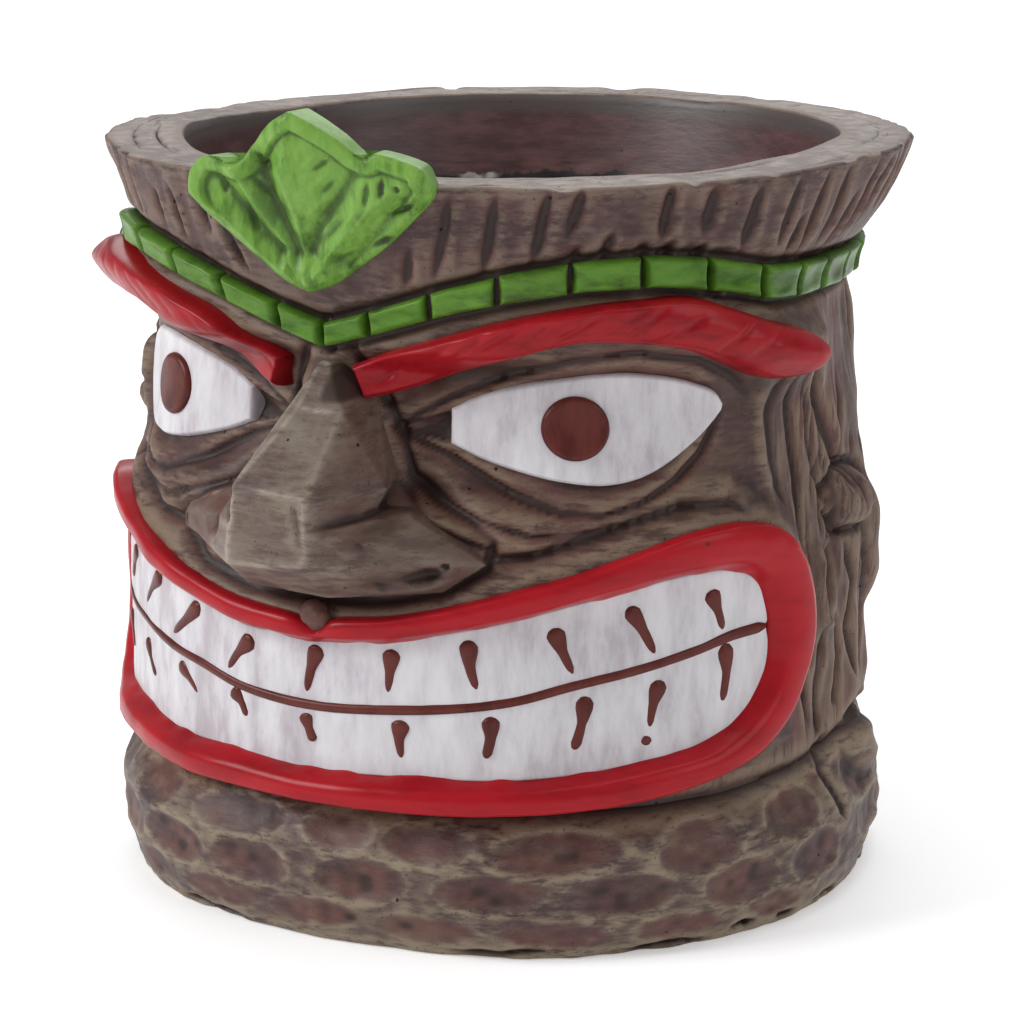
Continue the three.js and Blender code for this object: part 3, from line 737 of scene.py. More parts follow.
# Foot: the root of the log, a low collar of the same casting with gouged hollows round it. The whole object
# stands on its flat, rubbed underside.
foot_rows = 58
outside = carved(np.tile(turns, (foot_rows, 1)), share_rows(0 * turns + 0.35, crease, foot_rows))
edge = outside["radius"][0]
under = plain(turns, [(0, 0), (12, 0), (30, 0), (48, 0), (58, 0), (edge - 1.6, 0), (edge - 0.5, 0.06)])
inside_rows = plain(turns, [(bore(crease) + 1.5, crease), (51.5, 14), (48, 3.4), (20, 3.4), (0, 3.4)])
foot = cast("trunk_foot", stacked(under, outside, inside_rows))
mark_hollow_and_proud(foot, (10, 36), (0.18, 0.65))
foot_bark = bark_paint("bark paint foot", turn=(0, 0, 0), stretch=(0.3, 0.3, 1), olive=(0.086, 0.058, 0.047),
                       purple=(0.074, 0.042, 0.042), tan=(0.178, 0.140, 0.094))
foot.data.materials.append(foot_bark)
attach(foot, "root")

# Crown: the flared top of the casting, with gouges hanging from the rim and slits standing on the headband.
# The broad flat rim is dry-brushed pale, with the end grain's cracks round it.
crown_rows = 42
rim_lift = (1.4 * np.exp(-((turns + 66) / 17) ** 2) + 1.5 * np.exp(-((turns - 98) / 26) ** 2)
            + 0.9 * step_up(105, 150, np.abs(turns)))
outside = carved(np.tile(turns, (crown_rows, 1)), share_rows(band, rim_lift + 128.5, crown_rows))
edge = outside["radius"][-1]
rim_rows = 30
share = np.linspace(0, 1, rim_rows)[:, None]
rim_radius = (edge - 0.5)[None] * (1 - share) + (BORE_MOUTH + 0.4) * share
rim = {"angle": np.tile(turns, (rim_rows, 1)), "radius": rim_radius, "dark": np.zeros(rim_radius.shape),
       "warm": np.zeros(rim_radius.shape), "pale": np.ones(rim_radius.shape),
       "face": np.zeros(rim_radius.shape)}
rim["height"] = (RIM_HEIGHT + rim_lift + 0.22 * mottle(rim["angle"], rim_radius, 14, 6, 41)
                 + 0.10 * mottle(rim["angle"], rim_radius, 5, 1.6, 42))
chance = np.random.default_rng(17)
for _ in range(46):
    start, length = chance.uniform(-180, 180), chance.uniform(8, 40)
    at = chance.uniform(BORE_MOUTH + 1.2, RIM_OUTSIDE - 1.0)
    offset = from_centre(rim, start)
    fade = np.clip(1 - np.abs(offset / (0.5 * length)) ** 2, 0, 1)
    line = at + 0.6 * mottle(rim["angle"], 0 * rim_radius, 16, 30, chance.integers(1000))
    crack = fade * np.exp(-((rim_radius - line) / 0.24) ** 2)
    rim["height"] -= chance.uniform(0.15, 0.6) * crack
    rim["dark"] = np.maximum(rim["dark"], chance.uniform(0.4, 1.0) * crack)
for angle in (-168, -140, -97, -76, -66, -44, 12, 37, 55, 68, 84, 90, 104, 131, 166):
    notch = np.exp(-(from_centre(rim, angle) / chance.uniform(0.8, 2.2)) ** 2)
    inward = np.exp(-np.clip(edge[None] - rim_radius, 0, None) / chance.uniform(0.8, 2.4))
    rim["height"] -= chance.uniform(0.5, 1.4) * notch * inward
    rim["dark"] = np.maximum(rim["dark"], 0.8 * notch * inward)
mouth = plain(turns, [(BORE_MOUTH + 0.08, 128.7 + rim_lift)]
              + [(bore(h), h) for h in np.linspace(128.2, 117, 20)])
inside_rows = plain(turns, [(0.5 * (bore(117) + 62), 117), (bore(band) + 1.5, band)])
crown = cast("trunk_crown", stacked(outside, rim, mouth, inside_rows, {k: v[:1] for k, v in outside.items()}))
mark_hollow_and_proud(crown, (14, 70), (0.28, 0.9))
crown_bark = bark_paint("bark paint crown", turn=(0, 0.1, 0), stretch=(0.3, 0.3, 1),
                        olive=(0.084, 0.050, 0.041), purple=(0.062, 0.030, 0.030), tan=(0.118, 0.082, 0.062))
crown.data.materials.append(crown_bark)
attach(crown, "root")

# Inside: the bored hollow of the log, brushed red-brown as far down as the painter's brush went. Below that
# it is painted near-black as the shadow deep in the hollow, with pale flakes of bare resin near the edge of
# the paint.
cup_columns = np.linspace(-180, 180, 361)
cup_profile = ([(0, 4.6), (20, 4.6), (46, 5), (50.6, 12), (53.4, 104), (bore(116.9) + 1, 116.9)]
               + [(bore(h), h) for h in np.concatenate([np.linspace(117, 104, 24), np.linspace(103, 12, 40)])]
               + [(48.3, 9.2), (45.5, FLOOR_HEIGHT), (38, 8), (26, 8), (13, 8), (0, 8)])
cup = plain(cup_columns, cup_profile)
inner = np.arange(len(cup_profile))[:, None] > 5
ragged = (113.5 + 1.2 * mottle(cup["angle"], 0 * cup["height"], 9, 30, 51)
          + 0.6 * mottle(cup["angle"], 0 * cup["height"], 3, 30, 52))
cup["radius"] += inner * (cup["radius"] > 20) * (0.35 * step_up(0.6, -0.6, cup["height"] - ragged)
                                                 + 0.15 * mottle(cup["angle"], cup["height"], 6, 5, 53))
inside = cast("trunk_inside", cup)
mark_hollow_and_proud(inside, (10,), (0.5,))
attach(inside, "root")


def inside_paint():
    """Red-brown brushed round the mouth, ragged at its lower edge, over near-black painted shadow with
    pale flakes.
    """
    paint, tree, where = new_paint("inside paint")
    streak, patch = streaks(tree, where, (0, 0, 0), (0.3, 0.3, 1), 420)
    height = node(tree, "ShaderNodeSeparateXYZ", {0: where}).outputs[2]
    ragged_edge = sums(tree, "MULTIPLY", sums(tree, "SUBTRACT", speckle(tree, where, 190, 4, 0.7), 0.5),
                       0.006)
    painted = window(tree, sums(tree, "ADD", height, ragged_edge), 0.1146, 0.1153)
    brown = blend(tree, window(tree, streak, 0.38, 0.64), (0.060, 0.022, 0.022), (0.115, 0.050, 0.046))
    # a greyer, paler band round the top of the inside: painted highlight where light falls in over the rim
    brown = blend(tree, window(tree, sums(tree, "ADD", height, sums(tree, "MULTIPLY", ragged_edge, 0.3)),
                               0.1254, 0.1276),
                  brown, (0.070, 0.052, 0.047))
    flakes = sums(tree, "MULTIPLY", window(tree, speckle(tree, where, 42, 4, 0.6), 0.56, 0.64),
                  window(tree, height, 0.088, 0.108))
    # below the paint: near-black painted shadow, with pale flakes of bare resin near the paint's edge
    painted_shadow_and_flakes = blend(tree, flakes, (0.012, 0.009, 0.009), (0.52, 0.49, 0.47))
    colour = blend(tree, painted, painted_shadow_and_flakes, brown)
    colour = blend(tree, pits(tree, where, 240, 0.3), colour, (0.01, 0.008, 0.008))
    finish_paint(tree, colour, sums(tree, "ADD", 0.36, sums(tree, "MULTIPLY", patch, 0.2)), streak, 0.15)
    return paint


inside.data.materials.append(inside_paint())
crown.data.materials.append(bpy.data.materials["inside paint"])
for face in crown.data.polygons:
    if math.hypot(face.center.x, face.center.y) < (BORE_MOUTH + 0.2) * MM:
        face.material_index = 1
for skin in (head, foot, crown, inside):
    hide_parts("pot_shell")


# Nose: resin carved in flat facets like a hewn block, with spread wings, and let into the face. Its edges are
# painted pale, partly as rubbed paint and partly as painted highlight, and its flank and hollows are washed
# dark, with painted shade on the flank, the wings and the top of the bridge.
def pick(piece):
    """Selects a piece alone, for the operators."""
    bpy.ops.object.select_all(action="DESELECT")
    piece.select_set(True)
    bpy.context.view_layer.objects.active = piece


def nose_block():
    """Two blocks hewn to flat facets, the bridge and the wings, joined, with their edges rubbed down."""
    buried = -10
    bridge = [(1.2, -1.2, 98.6), (-0.2, -1.2, 98.6), (6.2, 4.9, 91.6), (-0.3, 4.9, 91.6), (5.9, 17.1, 79.5),
              (-4.0, 17.1, 80.6), (5.3, 17.4, 68.1), (-4.8, 17.4, 67.6), (12.2, 2.6, 79), (-10.8, 2.6, 80),
              (5.2, 7, 61), (-7.6, 7.8, 61.8), (5, buried, 97), (-4, buried, 97), (10.5, buried, 80),
              (-10.5, buried, 80), (8, buried, 63), (-8, buried, 63)]
    wings = [(5.3, 17.4, 68.1), (-4.8, 17.4, 67.6), (5.6, 17.2, 74), (-4.6, 17.2, 74), (26.8, 5.2, 67.6),
             (-22.4, 5.4, 72.2), (-23.4, 5.2, 68.4), (15.4, 4.2, 75.2), (-16, 4, 75.6), (20.7, 4.2, 62.6),
             (-17.6, 4.2, 64.3),
             (5.2, 7, 61), (-7.6, 7.8, 61.8), (22, buried, 70), (-22, buried, 70), (16, buried, 65),
             (-16, buried, 65), (15, buried, 75), (-15, buried, 75)]
    blocks = []
    for corners in (bridge, wings):
        places = []
        for angle, out, height in corners:
            turn, radius = math.radians(angle), HEAD_RADIUS + out
            places.append((radius * math.sin(turn) * MM, -radius * math.cos(turn) * MM, height * MM))
        block = bpy.data.meshes.new("nose block")
        block.from_pydata(places, [], [])
        piece = bpy.data.objects.new("nose block", block)
        bpy.context.collection.objects.link(piece)
        pick(piece)
        bpy.ops.object.mode_set(mode="EDIT")
        bpy.ops.mesh.select_all(action="SELECT")
        bpy.ops.mesh.convex_hull()
        bpy.ops.mesh.select_all(action="SELECT")
        bpy.ops.mesh.normals_make_consistent(inside=False)
        bpy.ops.object.mode_set(mode="OBJECT")
        blocks.append(piece)
    piece = blocks[0]
    pick(piece)
    joined = piece.modifiers.new("join", "BOOLEAN")
    joined.operation, joined.object, joined.solver = "UNION", blocks[1], "EXACT"
    bpy.ops.object.modifier_apply(modifier="join")
    bpy.data.objects.remove(blocks[1])
    cells = piece.modifiers.new("cells", "REMESH")
    cells.mode, cells.voxel_size, cells.use_smooth_shade = "VOXEL", 0.42 * MM, True
    bpy.ops.object.modifier_apply(modifier="cells")
    rubbed = piece.modifiers.new("rub", "SMOOTH")
    rubbed.factor, rubbed.iterations = 0.5, 3
    bpy.ops.object.modifier_apply(modifier="rub")
    piece.name = piece.data.name = "carved_nose"
    return piece


def read_skin(piece):
    """The piece's points as angles, heights and radii, ready to be carved."""
    place = np.empty(len(piece.data.vertices) * 3, np.float32)
    piece.data.vertices.foreach_get("co", place)
    x, y, z = place.reshape(-1, 3).T.astype(float) / MM
    angle = np.degrees(np.arctan2(x, -y))
    none = np.zeros(angle.shape)
    return {"angle": angle, "height": z, "radius": np.hypot(x, y), "dark": none.copy(), "warm": none.copy(),
            "pale": none.copy()}


def write_skin(piece, skin):
    piece.data.vertices.foreach_set("co", places(skin).astype(np.float32).ravel())
    for mark_name in MARKS[:3]:
        layer = piece.data.attributes.new(mark_name, "FLOAT", "POINT")
        layer.data.foreach_set("value", skin[mark_name].astype(np.float32))
    piece.data.update()


nose = nose_block()
skin = read_skin(nose)
outward = skin["radius"] > wall(skin["angle"], skin["height"]) - 2
skin["radius"] += outward * (0.35 * mottle(skin["angle"], skin["height"], 6, 6, 61)
                             + 0.16 * mottle(skin["angle"], skin["height"], 2.2, 2.2, 62))
for side in (1, -1):
    # the hollow between the bridge and the wing, the nostril with its pit, and the wing's rim
    cut(skin, [(side * a, h) for a, h in ((15.8, 77.5), (12.6, 74.5), (9.4, 70.4))], 2.0, -1.9, dark=0.35,
        warm=0.9, taper=0.2)
    cut(skin, [(side * a, h) for a, h in ((10.5, 63.6), (15, 64.9), (20.5, 66.6))], 1.6, -1.7, dark=0.7,
        warm=0.6, taper=0.2)
    scoop(skin, (side * 18.6, 66.2), 7.5, 3.2, 1.0, warm=1.0, dark=0.55, lean=0.25 * side)
    scoop(skin, (side * 21.2, 67.6), 1.6, 1.4, 1.0, dark=1.0)
    cut(skin, [(side * a, h) for a, h in ((10, 61.9), (17, 63.0), (23, 65.4))], 0.7, 0.5, taper=0.2)
    cut(skin, [(side * a, h) for a, h in ((15, 75.2), (20, 73), (25, 70.8))], 1.0, -0.6, warm=0.8)
scoop(skin, (-21.6, 69.8), 1.7, 2.4, 1.3, dark=1.0)
# the hewn edges, painted pale, partly as rubbed paint and partly as painted highlight: the ridge across
# the bridge, the front facet's edges and a small chamfer
cut(skin, [(-0.3, 91.7), (2.6, 91.7), (5.6, 91.6)], 0.42, 0.12, taper=0.15, pale=1.0)
cut(skin, [(-0.3, 98), (-0.3, 91.7), (-4.0, 80.6), (-4.8, 67.8)], 0.42, 0.12, taper=0.05, pale=0.85)
cut(skin, [(-4.0, 80.4), (1, 80.0), (5.4, 79.6)], 0.6, 0.1, taper=0.15, pale=0.5)
cut(skin, [(-4.6, 67.8), (0, 67.4), (5.0, 68.0)], 0.5, 0.05, taper=0.2, pale=0.3)
cut(skin, [(4.3, 78.4), (4.9, 74), (5.3, 69.8)], 0.5, -0.35, dark=0.22, taper=0.1)
cut(skin, [(5.9, 79.2), (5.7, 74), (5.4, 69)], 0.8, 0.1, taper=0.1, pale=0.45)
# the flank, the lower wings and the top of the bridge darkened and browned: partly wash, partly painted shade
apex = step_up(92, 93.5, skin["height"]) * step_up(1, 3, skin["angle"])
flank = step_up(5.5, 9, skin["angle"]) * step_up(96, 90, skin["height"]) * step_up(69, 74, skin["height"])
wing = step_up(8, 13, np.abs(skin["angle"])) * step_up(76, 72, skin["height"])
skin["dark"] = np.maximum(skin["dark"], np.maximum(0.5 * flank, np.maximum(0.62 * wing, 0.95 * apex)))
skin["warm"] = np.maximum(skin["warm"], 0.6 * np.maximum(flank, wing))
write_skin(nose, skin)
mark_hollow_and_proud(nose, (14, 60), (0.35, 1.5))
nose_bark = bark_paint("bark paint nose", turn=(0.25, 0.1, 0.0), stretch=(0.25, 0.25, 1),
                       olive=(0.150, 0.116, 0.088), purple=(0.098, 0.062, 0.052), tan=(0.220, 0.182, 0.146))
nose.data.materials.append(nose_bark)
pick(nose)
bpy.ops.object.shade_smooth()
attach(nose, "root")
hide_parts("nose")

# Bead: a small knob of cast resin that hangs under the nose, in a notch of the upper lip. It is washed and
# dry-brushed like the bark.
def ride_and_stand_for(piece, slot_name, *nodes):
    """Names the body a piece rides on and the solids it is shown instead of; slot_name, its finish, is not
    used.
    """
    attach(piece, "root")
    if nodes:
        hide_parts(*nodes)


share = np.linspace(0, 2 * math.pi, 49)
blob_rows = np.linspace(0, math.pi, 25)[:, None]
blob_angle, blob_height = 2.1, 57.3
blob = {"angle": blob_angle + 2.5 * np.sin(blob_rows) * np.cos(share) / SKIN,
        "height": blob_height + 2.6 * np.sin(blob_rows) * np.sin(share)
        - 0.5 * np.sin(blob_rows) * np.cos(share),
        "radius": 68.6 + 2.2 * np.cos(blob_rows) + 0 * share}
blob["dark"], blob["warm"] = 0.45 * np.ones(blob["radius"].shape), np.ones(blob["radius"].shape)
blob["radius"] += 0.45 * mottle(blob["angle"], blob["height"], 1.2, 1.2, 63) * np.sin(blob_rows)
bead = cast("nose_bead", blob)
mark_hollow_and_proud(bead, (8,), (0.5,))
bead.data.materials.append(upright_bark)
ride_and_stand_for(bead, "painted_resin")

# Lips: one thick rolled band of resin right round the open mouth, raised from the face. It is brushed with
# glossy red enamel.
def enamel(name, colour, light, shade, turn, stretch, rough, coat, bristle_mm=0.12, fineness=300, worn=0.0,
           shade_deep=0.75):
    """Thick brushed enamel with the bristles' marks: darker in hollows, partly where it pools and partly as
    painted shade, and lighter on raised places as a painted highlight.
    """
    worn_colour = (0.03, 0.022, 0.018)
    paint, tree, where = new_paint(name)
    streak, patch = streaks(tree, where, turn, stretch, fineness)
    mixed = blend(tree, window(tree, streak, 0.36, 0.66), colour, light)
    mixed = blend(tree, sums(tree, "MULTIPLY", window(tree, streak, 0.5, 0.34), 0.6), mixed, shade)
    # painted highlight on raised places
    mixed = blend(tree, sums(tree, "MULTIPLY", mark(tree, "proud"), 0.35), mixed, light)
    # darker in hollows: partly pooled enamel, partly painted shade
    mixed = blend(tree, sums(tree, "MULTIPLY", window(tree, mark(tree, "hollow"), 0.1, 0.8), shade_deep),
                  mixed, shade)
    if worn:
        rubbed = sums(tree, "MULTIPLY", mark(tree, "dark"), window(tree, streak, 0.62, 0.4))
        mixed = blend(tree, sums(tree, "MULTIPLY", rubbed, worn, True), mixed, worn_colour)
    hole = pits(tree, where, 150, 0.05)
    mixed = blend(tree, hole, mixed, worn_colour)
    relief = sums(tree, "SUBTRACT", sums(tree, "ADD", streak, sums(tree, "MULTIPLY", patch, 0.8)), hole)
    gloss = sums(tree, "ADD", rough - 0.05, sums(tree, "MULTIPLY", patch, 0.12))
    finish_paint(tree, mixed, gloss, relief, bristle_mm, coat, coat_rough=0.14, specular=0.15)
    return paint


lip_inner = [(0, 52.3), (12.1, 53.3), (21, 55.3), (30, 57.6), (39, 60.3), (48, 62.4), (56.7, 63.9),
             (63, 63.6), (66.7, 61.3), (68.6, 57), (69.3, 52.5), (69, 47.5), (67.5, 43.5), (64, 39),
             (57, 35.2), (48, 33.5), (39, 32.2), (30, 31.4), (15, 31.2), (0, 30.6)]


def soft_wall(angle, height):
    """The face under the lips, without the step down to the foot."""
    return wall(angle, np.clip(height, 31, 68))


lip_shares = np.linspace(0, 1, 521)
outer = curve_through(both_sides(lip_outer), lip_shares)
inner = curve_through(both_sides(lip_inner), lip_shares)
section = np.array([(-0.03, -1.2), (-0.01, 0.4), (0.0, 3.0), (0.015, 4.9), (0.05, 6.0), (0.12, 6.5),
                    (0.26, 6.75), (0.44, 6.75), (0.6, 6.5), (0.69, 6.1), (0.78, 5.3), (0.88, 4.25),
                    (0.96, 3.3), (0.99, 2.4), (1.0, 1.2), (1.0, -1.2)])
section = np.concatenate([curve_through(section / (SKIN, 1), np.linspace(0, 1, 34)) * (SKIN, 1),
                          [[0.5, -1.2], [-0.03, -1.2]]])
part_way, rise = section[:, 0][:, None], section[:, 1][:, None]
lips_skin = {"angle": outer[None, :, 0] * (1 - part_way) + inner[None, :, 0] * part_way,
             "height": outer[None, :, 1] * (1 - part_way) + inner[None, :, 1] * part_way}
flatter = 1 - 0.05 * step_up(40, 56, -lips_skin["angle"])
lips_skin["radius"] = soft_wall(lips_skin["angle"], lips_skin["height"]) + rise * flatter
lips_skin["dark"], lips_skin["warm"] = 0 * lips_skin["angle"], 0 * lips_skin["angle"]
raised = step_up(1.5, 5, rise)
lips_skin["radius"] += raised * (0.35 * mottle(lips_skin["angle"], lips_skin["height"], 11, 9, 71)
                                 + 0.13 * mottle(lips_skin["angle"], lips_skin["height"], 3.5, 3.5, 72))
notch = np.exp(-((lips_skin["angle"] - 2.1) * SKIN / 2.4) ** 2 - ((lips_skin["height"] - 57.2) / 2.0) ** 2)
lips_skin["radius"] -= 2.2 * raised * notch
lips_skin["height"] -= 1.2 * notch
wobble = mottle(lips_skin["angle"], lips_skin["height"], 3.2, 3.2, 73)
lips_skin["height"] += 0.4 * step_up(0.8, 1.0, part_way) * wobble
lips = cast("rolled_lips", lips_skin)
mark_hollow_and_proud(lips, (60,), (1.2,), keep_dark=False)
red_lip = enamel("red enamel lips", colour=(0.275, 0.004, 0.009), light=(0.35, 0.008, 0.014),
                 shade=(0.15, 0.003, 0.006), turn=(0, 0, 0), stretch=(0.25, 0.25, 1), rough=0.30, coat=0.04)
lips.data.materials.append(red_lip)
ride_and_stand_for(lips, "red_enamel", "lips")

# Teeth: two plates of resin inside the lips, which meet in a bite line. They are brushed white, and the gaps
# between the teeth are only drawn.
def crowded(count):
    """Shares from 0 to 1, closer together at both ends."""
    return 0.5 - 0.5 * np.cos(np.linspace(0, math.pi, count))


def plate(lower, upper, lift, edge, long_count, wide_count, on=wall, sunk=1.2, even=False):
    """A raised plate between two outlines: a rounded edge that rises from the skin it lies on."""
    shares, across = crowded(long_count), crowded(wide_count)[:, None]
    low, high = curve_through(lower, shares, even), curve_through(upper, shares, even)
    skin = {"angle": low[None, :, 0] * (1 - across) + high[None, :, 0] * across,
            "height": low[None, :, 1] * (1 - across) + high[None, :, 1] * across}
    skin["from_edge"] = to_outline(skin, np.concatenate([low, high[::-1]]))
    rounded = np.sqrt(np.clip(1 - (1 - np.clip(skin["from_edge"] / edge, 0, 1)) ** 2, 0, 1))
    floor = on(skin["angle"], skin["height"])
    skin["base"] = floor - sunk
    inside_edge = skin["from_edge"] > 1e-6
    rise = lift(skin) if callable(lift) else lift
    skin["radius"] = np.where(inside_edge, floor + rise * rounded, floor - sunk)
    for mark_name in MARKS[:3]:
        skin[mark_name] = np.zeros(floor.shape)
    return skin


def press(name, skin):
    """Closes a plate with its own hidden back."""
    back = {"angle": skin["angle"][::-1], "height": skin["height"][::-1], "radius": skin["base"][::-1],
            "dark": 0 * skin["dark"], "warm": 0 * skin["warm"]}
    edge = skin["from_edge"] <= 1e-6
    skin["radius"] = np.where(edge, skin["base"], np.maximum(skin["radius"], skin["base"] + 0.05))
    piece = cast(name, {key: np.concatenate([skin[key], back[key]]) for key in back})
    return piece


bite = [(-63.6, 50.6), (-56, 49.2), (-48, 47.6), (-39, 46.6), (-29.7, 45.2), (-21.1, 44.1), (-13.3, 42.3),
        (-5.3, 41.4), (3.3, 41.3), (12.1, 42), (21, 42.9), (30, 44.4), (39, 47), (48, 49), (56.7, 51.2),
        (62.5, 52.8), (69.4, 53.5)]
upper_edge = [(69.8, 54.4), (69.2, 58), (67.2, 62), (63, 64.4), (56.7, 64.7), (48, 63.2), (39, 61),
              (30, 58.4), (21, 56.1), (12.1, 54.1), (0, 53.1)]
lower_edge = [(69.9, 51), (69.8, 46.5), (67.6, 42), (64, 38), (57, 34.4), (48, 32.7), (39, 31.4), (30, 30.6),
              (15, 30.4), (0, 29.8)]


def teeth_rise(angle):
    """The teeth stand 3 mm proud of the face, and more at the mouth's right corner."""
    return 3.0 + 0.8 * step_up(40, 56, -angle)


def one_curve(half):
    """An edge of the teeth from the right corner of the mouth to the left."""
    return other_cheek(half) + half[-2::-1]


def enamel_waves(skin, amount, seed):
    """The unevenness that thick enamel leaves over a casting."""
    skin["radius"] += amount * np.clip(skin["from_edge"], 0, 1) * (
        mottle(skin["angle"], skin["height"], 7, 6, seed)
        + 0.5 * mottle(skin["angle"], skin["height"], 2.4, 2.4, seed + 1))


white = enamel("white enamel", colour=(0.44, 0.415, 0.44), light=(0.59, 0.58, 0.60),
               shade=(0.35, 0.305, 0.33), turn=(0.05, 0.1, 0), stretch=(1, 1, 0.3), rough=0.34, coat=0.0,
               bristle_mm=0.14, fineness=260, shade_deep=0.4)
for name, edge_line, over in (("teeth_upper", one_curve(upper_edge), True),
                              ("teeth_lower", one_curve(lower_edge), False)):
    low, high = (bite, edge_line) if over else (edge_line, bite)
    skin = plate(low, high, lambda s: teeth_rise(s["angle"]), 0.5, 300, 40, on=soft_wall)
    enamel_waves(skin, 0.16, 75 + over)
    teeth = press(name + "_plate", skin)
    mark_hollow_and_proud(teeth, (30,), (1.0,), keep_dark=False)
    teeth.data.materials.append(white)
    ride_and_stand_for(teeth, "white_enamel", name)


# Tooth lines: thick brown enamel drawn on the teeth with a loaded brush, fat where it was set down and thin
# where it lifted. The bite line is one long stroke.
def tooth_face(angle, height):
    return soft_wall(angle, height) + teeth_rise(angle)


def stroke(name, path, widths, lift, count=22):
    """A raised line of paint; widths are half widths in mm along it."""
    shares = np.linspace(0, 1, count)
    line = curve_through(path, shares)
    run = np.gradient(line * (SKIN, 1), axis=0)
    run /= np.hypot(run[:, 0], run[:, 1])[:, None] + 1e-9
    half = along([(k / (len(widths) - 1), w) for k, w in enumerate(widths)], shares)
    half = half * np.sqrt(np.clip(np.minimum(shares, 1 - shares) * count / 3.2, 0.0, 1))
    across = np.concatenate([np.linspace(-1, 1, 9), np.linspace(1, -1, 5)[1:]])[:, None]
    top = (np.arange(len(across)) < 9)[:, None]
    skin = {"angle": line[None, :, 0] - across * half * run[:, 1] / SKIN,
            "height": line[None, :, 1] + across * half * run[:, 0]}
    dome = np.sqrt(np.clip(1 - across**2, 0, 1)) * np.sqrt(np.clip(half / max(widths), 0, 1))
    skin["radius"] = tooth_face(skin["angle"], skin["height"]) + np.where(top, lift * dome, 0) - 0.28
    skin["dark"], skin["warm"] = 0 * skin["angle"], 0 * skin["angle"]
    return cast(name, skin)


brown = enamel("brown enamel", colour=(0.083, 0.016, 0.012), light=(0.110, 0.026, 0.020),
               shade=(0.042, 0.009, 0.008), turn=(0, 0, 0), stretch=(1, 1, 0.4), rough=0.32, coat=0.02,
               bristle_mm=0.06)
lines = [((-21.7, 54.4), (-29.7, 47.3)), ((-10.2, 51), (-15.6, 44.4)), ((1.5, 51.8), (-0.7, 43.3)),
         ((13, 52.5), (12.4, 44.5)), ((24, 54.9), (25.3, 46)), ((35.7, 56.9), (38.7, 48.7)),
         ((46.4, 59.9), (50.5, 51.3)), ((58.9, 61.3), (61.3, 54)), ((61.6, 52), (61.2, 41.6)),
         ((51.3, 47.1), (49.7, 38.9)), ((40.4, 45.4), (38.7, 35.9)), ((27.1, 42), (26.4, 34.6)),
         ((14.3, 40.6), (14.3, 33.9)), ((-1, 39.8), (0.5, 34.9)), ((-14.6, 41.4), (-11.7, 36.9)),
         ((-27.7, 42.7), (-22.5, 38.4)), ((-33.5, 57), (-41, 49.6)), ((-46, 58.5), (-51, 51.5)),
         ((-57.5, 59), (-61, 52.5)), ((-41, 43.5), (-36.5, 37.6)), ((-54, 45), (-50.5, 38.6)),
         ((-62.5, 46.5), (-60.5, 42))]
chance = np.random.default_rng(23)
drawn = []
for k, (start, end) in enumerate(lines):
    middle = (0.5 * (start[0] + end[0]) + chance.uniform(-0.5, 0.5),
              0.5 * (start[1] + end[1]) + chance.uniform(-0.2, 0.2))
    fat = chance.uniform(1.7, 1.95)
    upper, tail = start[1] > along(bite, start[0]) + 1, (0.6, 1.15, 0.9)[k % 3]
    widths = [fat, fat * 0.88, 1.0, 0.88, 0.62]
    if not upper:
        widths = [fat * 0.92, fat * 0.88, 1.0, 0.5 * (0.95 + tail), tail]
    drawn.append(stroke(f"tooth_stroke_{k + 1:02d}", [start, middle, end], widths, 0.85))
dot_path = [(49.6, 37.6), (49.2, 36.8), (48.9, 36.0)]
drawn.append(stroke("tooth_stroke_dot", dot_path, [0.95, 1.0, 0.85], 0.7, 12))
drawn.append(stroke("bite_line", bite, [0.45, 0.75, 0.9, 0.95, 0.95, 0.95, 0.92, 0.92, 1.1], 0.8, 220))
for piece in drawn:
    mark_hollow_and_proud(piece, (4,), (0.5,), keep_dark=False)
    piece.data.materials.append(brown)
    ride_and_stand_for(piece, "brown_enamel")

